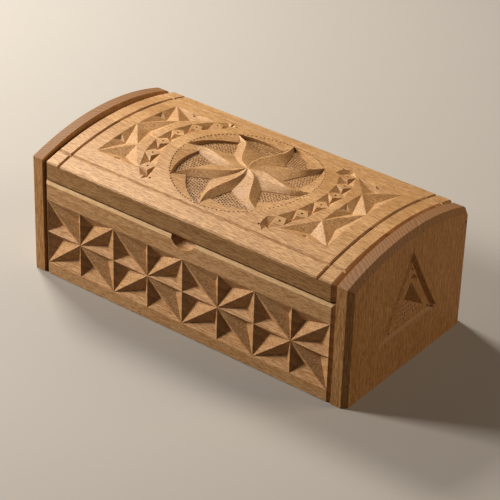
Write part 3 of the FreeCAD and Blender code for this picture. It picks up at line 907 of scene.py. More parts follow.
@dataclass(frozen=True)
class OiledBeech:
    """Steamed beech, planed, carved and oiled: a warm satin with short dark flecks, with painted shade and
    highlights where marked.
    """

    name: str
    pale: str
    deep: str
    end_grain: str
    grain: Grain
    heart: tuple[float, float, float]
    ring_mm: float
    roughness: float = 0.62
    gloss: float = 0.3
    # Painted highlight, screened over places marked below 0
    painted_highlight: str = "#c2966a"
    # Painted shade on faces that face front or back, multiplied in; white leaves them as they are
    side: str = "#ffffff"
    fleck: str = "#b08d69"
    ring_line: str = "#5a3a23"
    # Painted shade, multiplied over places marked above 0
    painted_shade: str = "#5a3a1e"
    ring_shift_mm: float = 14.0

    def build(self) -> bpy.types.Material:
        """Make the finish's node tree.

        Returns:
            The material.
        """
        material = new_material(self.name)
        tree = material.node_tree
        tree.nodes.clear()
        add = partial(add_node, tree)
        axis = self.grain.value
        place = add("ShaderNodeTexCoord").outputs
        in_mm = add("ShaderNodeMapping", {}, {
            "Vector": place["Object"], "Location": self.heart, "Scale": (1 / MM, 1 / MM, 1 / MM)}).outputs[0]
        # Length and width in millimetres of what each noise draws, and its detail. Fibres are finer than
        # the picture shows, so they are drawn about 0.4 mm wide. Beech has short dark flecks of 3 mm
        sizes = {
            "wobble": (160, 28, 2.0),
            "fibres": (7, 0.42, 1.0),
            "flecks": (3.2, 0.42, 1.0),
            "clouds": (120, 30, 2.0),
        }
        noise: dict[str, bpy.types.Node] = {}
        for label, (length, width, detail) in sizes.items():
            scale = [1 / length if way else 1 / width for way in axis]
            spread = add("ShaderNodeMapping", {}, {"Vector": in_mm, "Scale": scale})
            noise[label] = add("ShaderNodeTexNoise", {}, {
                "Vector": spread.outputs[0], "Scale": 1.0, "Detail": detail})
        # Growth rings, 2 to 7 mm apart by piece, show as soft bands on the faces and arcs on the ends
        shift = add("ShaderNodeVectorMath", {"operation": "SCALE"}, {
            0: noise["wobble"].outputs["Color"], "Scale": self.ring_shift_mm})
        bent = add("ShaderNodeVectorMath", {"operation": "ADD"}, {0: in_mm, 1: shift.outputs[0]})
        rings = add("ShaderNodeTexWave", {
            "wave_type": "RINGS", "rings_direction": "XYZ"[axis.index(1.0)], "wave_profile": "SAW"}, {
            "Vector": bent.outputs[0], "Scale": 2 * math.pi / (WAVE_RATE * self.ring_mm),
            "Distortion": 0.6, "Detail": 2.0, "Detail Scale": 1.0}).outputs["Fac"]
        # How squarely a face looks along the fibres, and to the front or back
        facing = []
        for way in (axis, Grain.ACROSS_DEPTH.value):
            along = add("ShaderNodeVectorMath", {"operation": "DOT_PRODUCT"}, {0: place["Normal"], 1: way})
            size = add("ShaderNodeMath", {"operation": "ABSOLUTE"}, {0: along.outputs["Value"]})
            facing.append(size.outputs[0])
        # Painted light of each vertex: below 0 a highlight, above 0 shade
        marks = add("ShaderNodeAttribute", {"attribute_name": "wear"}).outputs["Fac"]
        # Part of each value's range that counts, and the share it gives at the end of that part
        ranges = {
            "rings": (rings, 0.0, 1.0, 0.28),
            "fibres": (noise["fibres"].outputs["Fac"], 0.33, 0.67, 0.75),
            "clouds": (noise["clouds"].outputs["Fac"], 0.3, 0.7, 0.22),
            "flecks": (noise["flecks"].outputs["Fac"], 0.5, 0.63, 0.55),
            "ring lines": (rings, 0.2, 0.9, 0.75),
            "cut ends": (facing[0], 0.4, 0.9, 0.75),
            # Painted shade on faces that face front or back
            "long edges": (facing[1], 0.8, 0.97, 1.0),
            # Painted highlight and painted shade from the marks
            "painted_highlight": (marks, 0.0, -0.25, 0.9),
            "painted_shade": (marks, 0.0, 0.3, 0.95),
        }
        share: dict[str, bpy.types.NodeSocket] = {}
        for label, (value, low, high, top) in ranges.items():
            share[label] = add("ShaderNodeMapRange", {}, {
                "Value": value, "From Min": low, "From Max": high, "To Min": 0.0, "To Max": top}).outputs[0]
        tone = share["rings"]
        for label in ("fibres", "clouds"):
            tone = add("ShaderNodeMath", {"operation": "ADD"}, {0: tone, 1: share[label]}).outputs[0]
        # Cut ends of the fibres drink more oil, go darker and pinker, and show the rings as stripes
        cut_end = add("ShaderNodeMix", {"data_type": "RGBA"}, {
            0: share["ring lines"], 6: to_linear(self.end_grain), 7: to_linear(self.ring_line)}).outputs[2]
        # Each layer goes over the ones before it. The lid's long edges, facing front and back, get painted
        # shade that makes them darker than its face. Painted highlight lightens marked edges, and painted
        # shade darkens punched marks, deep cuts and marked lines
        layers = (
            ("MIX", tone, to_linear(self.deep)),
            ("MULTIPLY", share["flecks"], to_linear(self.fleck)),
            ("MIX", share["cut ends"], cut_end),
            ("MULTIPLY", share["long edges"], to_linear(self.side)),
            ("SCREEN", share["painted_highlight"], to_linear(self.painted_highlight)),
            ("MULTIPLY", share["painted_shade"], to_linear(self.painted_shade)),
        )
        colour: Any = to_linear(self.pale)
        for blend, amount, tint in layers:
            colour = add("ShaderNodeMix", {"data_type": "RGBA", "blend_type": blend}, {
                0: amount, 6: colour, 7: tint}).outputs[2]
        bump = add("ShaderNodeBump", {}, {
            "Height": noise["fibres"].outputs["Fac"], "Strength": 0.3, "Distance": 0.00012})
        shader = add("ShaderNodeBsdfPrincipled", {}, {
            "Base Color": colour, "Roughness": self.roughness, "IOR": 1.47,
            "Specular IOR Level": self.gloss, "Normal": bump.outputs[0]})
        add("ShaderNodeOutputMaterial", {}, {0: shader.outputs[0]})
        return material


@dataclass(frozen=True)
class DarkSteel:
    """Drawn steel wire, darkened with age: a dull grey that shows only at the brad's end."""

    name: str = "darkened_drawn_steel"
    colour: str = "#4a4540"
    roughness: float = 0.45

    def build(self) -> bpy.types.Material:
        """Make the finish."""
        material = new_material(self.name)
        shader = material.node_tree.nodes["Principled BSDF"]
        shader.inputs["Base Color"].default_value = to_linear(self.colour)
        shader.inputs["Metallic"].default_value = 1.0
        shader.inputs["Roughness"].default_value = self.roughness
        return material


@dataclass(frozen=True)
class PaleFloor:
    """Matt painted board under the box: plain and pale, and throwing little light back up."""

    name: str = "matt_pale_floor"
    colour: str = "#b0aca6"
    bounce: str = "#696054"
    roughness: float = 0.9

    def build(self) -> bpy.types.Material:
        """Make the finish."""
        material = new_material(self.name)
        tree = material.node_tree
        ray = add_node(tree, "ShaderNodeLightPath").outputs
        seen = ray["Is Camera Ray"]
        for kind in ("Is Glossy Ray", "Is Transmission Ray"):
            either = add_node(tree, "ShaderNodeMath", {"operation": "MAXIMUM"}, {0: seen, 1: ray[kind]})
            seen = either.outputs[0]
        colour = add_node(tree, "ShaderNodeMix", {"data_type": "RGBA"}, {
            0: seen, 6: to_linear(self.bounce), 7: to_linear(self.colour)})
        shader = tree.nodes["Principled BSDF"]
        tree.links.new(colour.outputs[2], shader.inputs["Base Color"])
        shader.inputs["Roughness"].default_value = self.roughness
        return material


class Finishes:
    """All finishes of the box, by the record's slot names."""

    def __init__(self) -> None:
        """Build each finish once."""
        along, up = Grain.ALONG_LENGTH, Grain.UPRIGHT
        finishes = {
            "lid_wood": OiledBeech(
                "oiled_beech_lid", "#e3b780", "#ab7c47", "#b58b60", along, (3.0, 14.0, 60.0),
                # The lid's front and back faces get painted shade from this multiplying colour
                ring_mm=6.5, roughness=0.54, gloss=0.4, side="#ded8cf"),
            "panel_wood": OiledBeech(
                "oiled_beech_panels", "#edc08e", "#b88652", "#b88a60", along, (8.0, 95.0, 20.0), ring_mm=6.0),
            "end_wood": OiledBeech(
                "oiled_beech_ends", "#d6a66e", "#aa7945", "#8c6544", up, (12.0, 230.0, 5.0), ring_mm=2.4),
            "inner_wood": OiledBeech(
                "bare_beech_inside", "#d6b184", "#b88e60", "#b8926c", up, (40.0, 33.0, 9.0), ring_mm=4.5),
            "peg_wood": OiledBeech(
                "turned_beech_pegs", "#bd8f60", "#926844", "#a37c58", along, (2.0, 17.0, 9.0),
                ring_mm=3.0, roughness=0.55),
            "hinge_steel": DarkSteel(),
        }
        self.by_slot: dict[str, bpy.types.Material] = {
            slot: finish.build() for slot, finish in finishes.items()}

    def dress(self, obj: bpy.types.Object, slot: str) -> None:
        """Give an object the finish of a slot."""
        obj.data.materials.clear()
        obj.data.materials.append(self.by_slot[slot])


def hand_over(obj: bpy.types.Object, slot: str, node: str, body: str, finishes: Finishes) -> None:
    """Finish a piece: shade it, dress it, hang it on its body and hide the solid that it replaces.

    Args:
        obj: The finished piece.
        slot: Record's slot that it takes its finish from.
        node: Solid that it replaces.
        body: Body that it moves with.
        finishes: All finishes.
    """
    obj.data.shade_smooth()
    obj.data.set_sharp_from_angle(angle=CRISP_ANGLE)
    finishes.dress(obj, slot)
    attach(obj, body)
    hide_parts(node)
    log.info("%s: %d faces, rides on %s", obj.name, len(obj.data.polygons), body)


def run_tree(obj: bpy.types.Object, tree: bpy.types.NodeTree, values: dict[str, Any]) -> None:
    """Run a node tree on an object and keep the result as a plain mesh.

    Args:
        obj: Object that the tree works on.
        tree: The tree.
        values: The tree's inputs by name.
    """
    modifier = obj.modifiers.new(tree.name, "NODES")
    modifier.node_group = tree
    for item in tree.interface.items_tree:
        if item.item_type == "SOCKET" and item.in_out == "INPUT" and item.name in values:
            modifier[item.identifier] = values[item.name]
    settle(obj)


def new_tree(name: str, inputs: dict[str, str]) -> tuple[bpy.types.NodeTree, bpy.types.Node]:
    """Start a geometry tree with named inputs.

    Args:
        name: Tree's name.
        inputs: Socket type of each input by name.

    Returns:
        The tree and its input node.
    """
    tree = bpy.data.node_groups.new(name, "GeometryNodeTree")
    tree.interface.new_socket("Geometry", in_out="INPUT", socket_type="NodeSocketGeometry")
    for label, kind in inputs.items():
        tree.interface.new_socket(label, in_out="INPUT", socket_type=kind)
    tree.interface.new_socket("Geometry", in_out="OUTPUT", socket_type="NodeSocketGeometry")
    return tree, add_node(tree, "NodeGroupInput")


def close_tree(tree: bpy.types.NodeTree, source: bpy.types.Node, repeats: bpy.types.NodeSocket) -> None:
    """Weld the repeated tiles to the board and end the tree.

    Args:
        tree: Tree to end.
        source: Its input node, with the board, weld distance and finish.
        repeats: The placed tiles.
    """
    tiles = add_node(tree, "GeometryNodeRealizeInstances", {}, {0: repeats})
    joined = add_node(tree, "GeometryNodeJoinGeometry")
    tree.links.new(source.outputs["Geometry"], joined.inputs[0])
    tree.links.new(tiles.outputs[0], joined.inputs[0])
    welded = add_node(tree, "GeometryNodeMergeByDistance", {}, {
        "Geometry": joined.outputs[0], "Distance": source.outputs["Weld"]})
    whole = add_node(tree, "GeometryNodeRealizeInstances", {}, {0: welded.outputs[0]})
    dressed = add_node(tree, "GeometryNodeSetMaterial", {}, {
        "Geometry": whole.outputs[0], "Material": source.outputs["Finish"]})
    add_node(tree, "NodeGroupOutput", {}, {0: dressed.outputs[0]})


@dataclass
class Lid:
    """Arched lid board with its carved whirl rosette, rows of squares and fields of chips."""

    arch_rise: float = 8.7
    end_bevel: float = 3.6
    edge_ease: float = 0.7
    groove_inset: float = 11.55
    groove_from_end: float = 13.0
    groove_width: float = 2.2
    groove_depth: float = 1.9
    long_groove_depth: float = 1.4
    fill_steps: Spot = (6.0, 4.5)
    back_set: float = 0.5
    whirl: Whirl = field(default_factory=Whirl)
    tile_radius: float = 47.35
    tile_margin: float = 0.3
    tile_pieces: int = 14
    # Painted shade per millimetre of depth in the rosette, darkening its ground and the blades' feet
    rosette_depth_shade: float = 0.026
    ring_dots: int = 112
    ring_start: float = 0.6
    ring_inset: float = 0.4
    ring_dot_radius: float = 0.75
    ring_dot_depth: float = 0.6
    stipple: Stipple = Stipple(7, range(50), 60, spacing=1.9, stray=0.28, radius=0.56, sunk=0.5)
    stipple_start: Spot = (-8.0, 0.0)
    field_outer: float = 86.0
    field_inner: float = 69.2
    field_tip: float = 53.3
    field_half: float = 38.4
    field_node: float = 20.0
    field_depth: float = 2.9
    # Base and reach of the nicks in the middle chip, the side chips and the corner chips
    middle_nick: Spot = (7.5, 4.2)
    side_nick: Spot = (8.0, 5.4)
    corner_nick: Spot = (6.0, 3.0)
    nick_inset: float = 0.04
    nick_lean: float = 0.35
    nick_depth: float = 1.1
    row_out: float = 13.0
    row_step: float = 13.7
    square_half: float = 5.3
    square_reach: float = 3.8
    pit_depth: float = 2.9
    pit_ridge: float = 0.06
    squares: int = 6
    row_tip_angle: float = 45.5
    row_tip_out: float = 18.0
    end_mark_angle: float = 45.9
    end_mark_in: float = 1.3
    ridge: float = 0.03
    hinge_setback: float = 4.3
    pin_radius: float = 1.15
    pin_reach: float = 14.0
    lug_room: float = 0.4
    lug_pocket_rise: float = 4.73
    tenon_front: float = 1.0
    tenon_rear: float = 5.0
    low: Vector = field(init=False)
    high: Vector = field(init=False)
    half_depth: float = field(init=False)
    arch_radius: float = field(init=False)
    arch_axis: float = field(init=False)

    def __post_init__(self) -> None:
        """Read the board's box from the solids."""
        self.low, self.high = box_mm("lid")
        self.half_depth = self.high.y
        self.arch_radius = (self.half_depth ** 2 + self.arch_rise ** 2) / (2 * self.arch_rise)
        self.arch_axis = self.high.z - self.arch_radius

    def lift(self, u: float, v: float, depth: float) -> Vector:
        """Point of the arched top above a place."""
        return Vector((u, v, self.arch_axis + math.sqrt(self.arch_radius ** 2 - v ** 2) - depth))

    def tile_side(self) -> Line:
        """Ridge of one blade, from the middle to the tile's rim."""
        stop = self.tile_radius - self.tile_margin
        line = [spot for spot in self.whirl.ridge if math.hypot(*spot) < stop]
        tip = line[-1]
        return line + [between((0.0, 0.0), tip, self.tile_radius / math.hypot(*tip))]

    def tile_arc(self, side: Line) -> Line:
        """Outer rim of one sector."""
        start = math.degrees(math.atan2(side[-1][1], side[-1][0]))
        return arc(self.tile_radius, start, self.whirl.step, self.tile_pieces)

    def rosette_tile(self) -> CarvedFace:
        """One sector of the rosette, from ridge to ridge, with its punched marks.

        Returns:
            The sector as a carved face.
        """
        whirl = self.whirl
        side = self.tile_side()
        far = [turned(spot, whirl.step) for spot in side]
        outline = side[:-1] + self.tile_arc(side) + far[-2:0:-1]
        face = CarvedFace(outline, [whirl], depth_shade=self.rosette_depth_shade)
        for number in range(self.ring_dots // whirl.blades):
            turn = 360 / self.ring_dots * (number + 0.5) + self.ring_start
            at = polar(whirl.radius - self.ring_inset, turn)
            dot = Dot(at, self.ring_dot_radius, self.ring_dot_depth)
            if all(inside(outline, spot) for spot in dot.ring()):
                face.dots.append(dot)

        def on_ground(spot: Spot) -> bool:
            """Whether a place of the sector lies on the ground, clear of walls and blades."""
            return inside(outline, spot) and whirl.depth(spot) > whirl.ground_depth(spot) - SAME_DEPTH

        marks = self.stipple.dots(self.stipple_start)
        face.dots += [dot for dot in marks if all(on_ground(spot) for spot in dot.ring())]
        return face

    def field_cuts(self, side: int) -> tuple[list[Cut], list[Nick]]:
        """Half star of large chips at one end, with the nicks in their edges.

        Args:
            side: 1 for the right end, -1 for the left.

        Returns:
            Chips and nicks.
        """
        outer, inner, tip = side * self.field_outer, side * self.field_inner, side * self.field_tip
        middle = (outer, self.back_set)
        nodes = [(inner, self.back_set + sign * self.field_node) for sign in (1, -1)]
        rims = [[middle, *nodes]]
        nicks = [self.nick(nodes[0], nodes[1], middle, self.middle_nick)]
        for sign, node in zip((1, -1), nodes):
            corner = (outer, self.back_set + sign * self.field_half)
            end = (tip, corner[1])
            rims += [[corner, middle, node], [corner, node, end]]
            nicks.append(self.nick(corner, middle, node, self.side_nick))
            nicks.append(self.nick(corner, end, node, self.corner_nick))
        chips: list[Cut] = [chip(rim, incentre(*rim), self.field_depth, self.ridge) for rim in rims]
        return chips, nicks

    def nick(self, a: Spot, b: Spot, toward: Spot, size: Spot) -> Nick:
        """Small chip in the middle of a large chip's edge.

        Args:
            a: Start of the edge.
            b: End of the edge.
            toward: Corner of the large chip that the nick points to.
            size: Base along the edge, and reach from it.

        Returns:
            The nick.
        """
        base, reach = size
        middle = between(between(a, b, 0.5), toward, self.nick_inset)
        along = ((b[0] - a[0]) / math.dist(a, b) * base / 2, (b[1] - a[1]) / math.dist(a, b) * base / 2)
        apex = between(middle, toward, reach / math.dist(middle, toward))
        rim = [(middle[0] - along[0], middle[1] - along[1]),
               (middle[0] + along[0], middle[1] + along[1]), apex]
        return Nick(rim, between(middle, apex, self.nick_lean), self.nick_depth)

    def row_cuts(self, side: int) -> tuple[list[Cut], list[Dot]]:
        """Curved row of squares at one end: the pits between them and the mark in each.

        Args:
            side: 1 for the right end, -1 for the left.

        Returns:
            Pits and marks.
        """
        spot = partial(polar, centre=(0.0, self.back_set))
        row = self.whirl.radius + self.row_out
        facing = 0 if side > 0 else 180
        first = -(self.squares - 1) / 2 * self.row_step
        angles = [facing + first + number * self.row_step for number in range(self.squares)]
        reach = math.degrees(self.square_reach / row)
        low, high = row - self.square_half, row + self.square_half
        shapes: list[tuple[Line, Spot]] = []
        for a, b in zip(angles, angles[1:]):
            rim = [spot(high, a), spot(row, a + reach), spot(low, a),
                   spot(low, b), spot(row, b - reach), spot(high, b)]
            shapes.append((rim, spot(row, (a + b) / 2)))
        marks = [spot(row, angle) for angle in angles]
        for angle, way in ((angles[0], -1), (angles[-1], 1)):
            tip = spot(self.whirl.radius + self.row_tip_out, facing + way * self.row_tip_angle)
            rim = [spot(high, angle), spot(row, angle + way * reach), spot(low, angle), tip]
            shapes.append((rim, spot(row, angle + way * self.row_step / 2)))
            marks.append(spot(row - self.end_mark_in, facing + way * self.end_mark_angle))
        pits: list[Cut] = [chip(rim, deep, self.pit_depth, self.pit_ridge) for rim, deep in shapes]
        return pits, [punch(mark) for mark in marks]

    def top_face(self) -> CarvedFace:
        """Whole top of the lid, with a hole where the rosette goes.

        Returns:
            The carved face.
        """
        x, y, b = self.high.x, self.half_depth, self.end_bevel
        outline = [(-x, -y + b), (-x + b, -y), (x - b, -y), (x, -y + b),
                   (x, y - b), (x - b, y), (-x + b, y), (-x, y - b)]
        widths = [0.0, self.edge_ease, 0.0, b, 0.0, self.edge_ease, 0.0, b]
        groove_x, groove_y = x - self.groove_from_end, y - self.groove_inset
        width, half = self.groove_width, self.groove_width / 2
        grooves = [
            Groove((side * groove_x, -y - PAST), (side * groove_x, y + PAST), width, self.groove_depth)
            for side in (-1, 1)]
        grooves += [
            Groove((-x - PAST, side * groove_y), (x + PAST, side * groove_y), width, self.long_groove_depth)
            for side in (-1, 1)]
        face = CarvedFace(outline, [EdgeBevel(outline, widths), *grooves])
        for sx in (-1, 1):
            for sy in (-1, 1):
                cx, cy = sx * groove_x, sy * groove_y
                face.guides += [[(cx - half, cy - half), (cx + half, cy + half)],
                                [(cx - half, cy + half), (cx + half, cy - half)]]
                run_out = (sx * (x - b + self.long_groove_depth), cy)
                face.guides += [[(sx * (x - b), cy - half), run_out], [(sx * (x - b), cy + half), run_out]]
            chips, nicks = self.field_cuts(sx)
            pits, dots = self.row_cuts(sx)
            face.cuts += chips + pits
            face.nicks += nicks
            face.dots += dots
        rim = self.tile_arc(self.tile_side())[:-1]
        for number in range(self.whirl.blades):
            sector = [turned(spot, self.whirl.step * number) for spot in rim]
            face.hole += [(u, v + self.back_set) for u, v in sector]
        face.add_fill(*self.fill_steps)
        return face

    def rosette_tree(self) -> bpy.types.NodeTree:
        """Node tree that turns one sector round the middle and bends it onto the arch.

        Returns:
            The tree.
        """
        tree, source = new_tree("Whirl rosette", {
            "Sector": "NodeSocketObject", "Blades": "NodeSocketInt", "Back set": "NodeSocketFloat",
            "Arch radius": "NodeSocketFloat", "Arch axis": "NodeSocketFloat", "Weld": "NodeSocketFloat",
            "Finish": "NodeSocketMaterial"})
        add = partial(add_node, tree)
        given = source.outputs
        sector = add("GeometryNodeObjectInfo", {}, {"Object": given["Sector"]})
        seats = add("GeometryNodePoints", {}, {"Count": given["Blades"]})
        number = add("GeometryNodeInputIndex")
        step = add("ShaderNodeMath", {"operation": "DIVIDE"}, {0: 2 * math.pi, 1: given["Blades"]})
        turn = add("ShaderNodeMath", {"operation": "MULTIPLY"}, {0: number.outputs[0], 1: step.outputs[0]})
        around = add("ShaderNodeCombineXYZ", {}, {"Z": turn.outputs[0]})
        copies = add("GeometryNodeInstanceOnPoints", {}, {
            "Points": seats.outputs[0], "Instance": sector.outputs["Geometry"],
            "Rotation": around.outputs[0]})
        flat = add("GeometryNodeRealizeInstances", {}, {0: copies.outputs[0]})
        split = add("ShaderNodeSeparateXYZ", {}, {0: add("GeometryNodeInputPosition").outputs[0]})
        across = add("ShaderNodeMath", {"operation": "ADD"}, {0: split.outputs["Y"], 1: given["Back set"]})
        square, whole = [
            add("ShaderNodeMath", {"operation": "MULTIPLY"}, {0: value, 1: value})
            for value in (across.outputs[0], given["Arch radius"])]
        left = add("ShaderNodeMath", {"operation": "SUBTRACT"}, {0: whole.outputs[0], 1: square.outputs[0]})
        root = add("ShaderNodeMath", {"operation": "SQRT"}, {0: left.outputs[0]})
        rise = add("ShaderNodeMath", {"operation": "ADD"}, {0: root.outputs[0], 1: given["Arch axis"]})
        offset = add("ShaderNodeCombineXYZ", {}, {"Y": given["Back set"], "Z": rise.outputs[0]})
        bent = add("GeometryNodeSetPosition", {}, {"Geometry": flat.outputs[0], "Offset": offset.outputs[0]})
        close_tree(tree, source, bent.outputs[0])
        return tree

    def joint_cutters(self) -> list[bpy.types.Object]:
        """Cutters for the rounded rear edge, hinge bores, lug pocket and catch mortise."""
        x, y, under = self.high.x, self.half_depth, self.low.z
        hinge_y, hinge_z = y - self.hinge_setback, under + self.hinge_setback
        far = -x - PAST
        rounded = arc(self.hinge_setback, -90, 90, 9, (hinge_y, hinge_z))
        rounded += [(y + PAST, hinge_z), (y + PAST, under - PAST), (hinge_y, under - PAST)]
        outline = [(far, *spot) for spot in rounded]
        catch_low, catch_high = box_mm("lid_catch")
        lug_low, lug_high = box_mm("hinge_lug")
        return [
            prism_cutter(outline, (2 * x + 2 * PAST, 0, 0)),
            rod_cutter(x - self.pin_reach, x + PAST, hinge_y, hinge_z, self.pin_radius),
            rod_cutter(far, -x + self.pin_reach, hinge_y, hinge_z, self.pin_radius),
            block_cutter((far, lug_low.y - self.lug_room, under - PAST),
                         (lug_high.x + self.lug_room, y + PAST, hinge_z + self.lug_pocket_rise)),
            block_cutter((catch_low.x, catch_low.y + self.tenon_front, under - PAST),
                         (catch_high.x, catch_low.y + self.tenon_rear, catch_high.z)),
        ]

    def build(self, finishes: Finishes) -> None:
        """Carve the lid and hand it over."""
        tile = tile_object("rosette_sector", self.rosette_tile(), lambda u, v, d: Vector((u, v, -d)))
        top = self.top_face()
        lid = board_object("carved_lid", top, self.lift, lambda u, v, d: Vector((u, v, self.low.z)))
        run_tree(lid, self.rosette_tree(), {
            "Sector": tile, "Blades": self.whirl.blades, "Back set": self.back_set * MM,
            "Arch radius": self.arch_radius * MM, "Arch axis": self.arch_axis * MM,
            "Weld": WELD * MM, "Finish": finishes.by_slot["lid_wood"]})
        drop(tile)
        cut_away(lid, self.joint_cutters())
        hand_over(lid, "lid_wood", "lid", "lid_assembly", finishes)


@dataclass
class FrontPanel:
    """Front wall with its band of eight-ray stars and the thumb notch."""

    end_bevel: float = 3.1
    top_bevel: float = 3.6
    top_slope: float = 0.6
    # Bands below the top edge: a painted highlight on the bevel, then a thin painted shadow under the lid,
    # ending plain
    highlight_drops: tuple[float, float] = (3.1, 1.75)
    shadow_drops: tuple[float, float] = (1.42, 0.95)
    plain_drop: float = 0.6
    highlight_mark: float = -1.0
    shadow_mark: float = 0.5
    foot_ease: float = 0.5
    stars: int = 4
    band_low: float = 8.2
    band_drop: float = 14.5
    chip_depth: float = 4.7
    ray_offset: float = 5.3
    edge_offset: float = 8.6
    ridge: float = 0.009
    thumb_radius: float = 10.0
    thumb_forward: float = 2.0
    thumb_above: float = 1.4
    thumb_stop: float = 0.02
    floor_low: float = 4.0
    floor_high: float = 10.0
    groove_depth: float = 4.0
    housing_depth: float = 3.0
    low: Vector = field(init=False)
    high: Vector = field(init=False)
    band_left: float = field(init=False)
    band_right: float = field(init=False)
    band_high: float = field(init=False)
    cell: float = field(init=False)

    def __post_init__(self) -> None:
        """Read the board's box from the solids."""
        self.low, self.high = box_mm("front_panel")
        self.band_left = self.low.x + self.end_bevel
        self.band_right = self.high.x - self.end_bevel
        self.band_high = self.high.z - self.band_drop
        self.cell = (self.band_right - self.band_left) / self.stars

    def lift(self, u: float, v: float, depth: float) -> Vector:
        """Point of the front face at a place."""
        return Vector((u, self.low.y + depth, v))

    def star_tile(self) -> CarvedFace:
        """One star: eight chips between rays to the corners and to the middles of the sides.

        Returns:
            The star, about the middle of its cell.
        """
        half_u, half_v = self.cell / 2, (self.band_high - self.band_low) / 2
        outline = [(-half_u, -half_v), (half_u, -half_v), (half_u, half_v), (-half_u, half_v)]
        chips: list[Cut] = []
        for su in (-1, 1):
            for sv in (-1, 1):
                corner = (su * half_u, sv * half_v)
                side, top = (su * half_u, 0.0), (0.0, sv * half_v)
                side_deep = (su * (half_u - self.edge_offset), sv * self.ray_offset)
                top_deep = (su * self.ray_offset, sv * (half_v - self.edge_offset))
                for end, deep in ((side, side_deep), (top, top_deep)):
                    rim = [(0.0, 0.0), end, corner]
                    chips.append(chip(rim, deep, self.chip_depth, self.ridge, UNDIVIDED))
        return CarvedFace(outline, chips)

    def panel_face(self) -> CarvedFace:
        """Whole front around the band of stars.

        Returns:
            The carved face.
        """
        left, right, top = self.low.x, self.high.x, self.high.z
        outline = [(left, 0.0), (right, 0.0), (right, top), (left, top)]
        widths = [self.foot_ease, self.end_bevel, self.top_bevel, self.end_bevel]
        bevel = EdgeBevel(outline, widths, [1.0, 1.0, self.top_slope, 1.0])
        centre = (0.0, top + self.thumb_above)
        scoop = Scoop(centre, self.thumb_forward, self.thumb_radius, top - self.thumb_stop, bevel)
        face = CarvedFace(outline, [bevel, scoop])
        rims = [self.band_left + self.cell * number for number in range(self.stars + 1)]
        face.hole = [(u, self.band_low) for u in rims] + [(u, self.band_high) for u in reversed(rims)]
        beside = self.thumb_radius + self.end_bevel / 4
        # Painted highlight on the top bevel and a thin line of painted shadow under the lid, either side of
        # the thumb notch
        bands = (*self.highlight_drops, *self.shadow_drops, self.plain_drop)
        wear = ((*self.highlight_drops, self.highlight_mark), (*self.shadow_drops, self.shadow_mark))
        for first, last in ((left + self.end_bevel, -beside), (beside, right - self.end_bevel)):
            face.guides += [stepped([(first, top - drop), (last, top - drop)], bevel.step) for drop in bands]
            for low, high, mark in wear:
                sides = ((first - EDGE, low + EDGE), (last + EDGE, low + EDGE), (last + EDGE, high - EDGE),
                         (first - EDGE, high - EDGE))
                face.painted_areas.append(([(u, top - drop) for u, drop in sides], mark))
        return face

    def star_tree(self) -> bpy.types.NodeTree:
        """Node tree that sets the stars side by side in the band.

        Returns:
            The tree.
        """
        tree, source = new_tree("Band of stars", {
            "Star": "NodeSocketObject", "Stars": "NodeSocketInt", "First": "NodeSocketVector",
            "Step": "NodeSocketVector", "Weld": "NodeSocketFloat", "Finish": "NodeSocketMaterial"})
        given = source.outputs
        star = add_node(tree, "GeometryNodeObjectInfo", {}, {"Object": given["Star"]})
        seats = add_node(tree, "GeometryNodeMeshLine", {"mode": "OFFSET"}, {
            "Count": given["Stars"], "Start Location": given["First"], "Offset": given["Step"]})
        copies = add_node(tree, "GeometryNodeInstanceOnPoints", {}, {
            "Points": seats.outputs[0], "Instance": star.outputs["Geometry"]})
        close_tree(tree, source, copies.outputs[0])
        return tree

    def joint_cutters(self) -> list[bpy.types.Object]:
        """Cutters for the floor groove and the inner wall's housing."""
        wall_low, wall_high = box_mm("left_inner_wall")
        inner = self.high.y
        return [
            block_cutter((wall_low.x, inner - self.housing_depth, -PAST),
                         (wall_high.x, inner + PAST, self.high.z + PAST)),
            block_cutter((wall_high.x - self.housing_depth, inner - self.groove_depth, self.floor_low),
                         (self.high.x + PAST, inner + PAST, self.floor_high)),
        ]

    def build(self, finishes: Finishes) -> None:
        """Carve the front and hand it over."""
        tile = tile_object("star", self.star_tile(), lambda u, v, d: Vector((u, d, v)))
        face = self.panel_face()
        panel = board_object("carved_front", face, self.lift, lambda u, v, d: Vector((u, self.high.y, v)))
        middle = (self.band_low + self.band_high) / 2
        first = Vector((self.band_left + self.cell / 2, self.low.y, middle)) * MM
        run_tree(panel, self.star_tree(), {
            "Star": tile, "Stars": self.stars, "First": first, "Step": Vector((self.cell * MM, 0, 0)),
            "Weld": WELD * MM, "Finish": finishes.by_slot["panel_wood"]})
        drop(tile)
        cut_away(panel, self.joint_cutters())
        hand_over(panel, "panel_wood", "front_panel", "box_body", finishes)


class End(Enum):
    """Which end of the box a board closes."""

    LEFT = -1
    RIGHT = 1


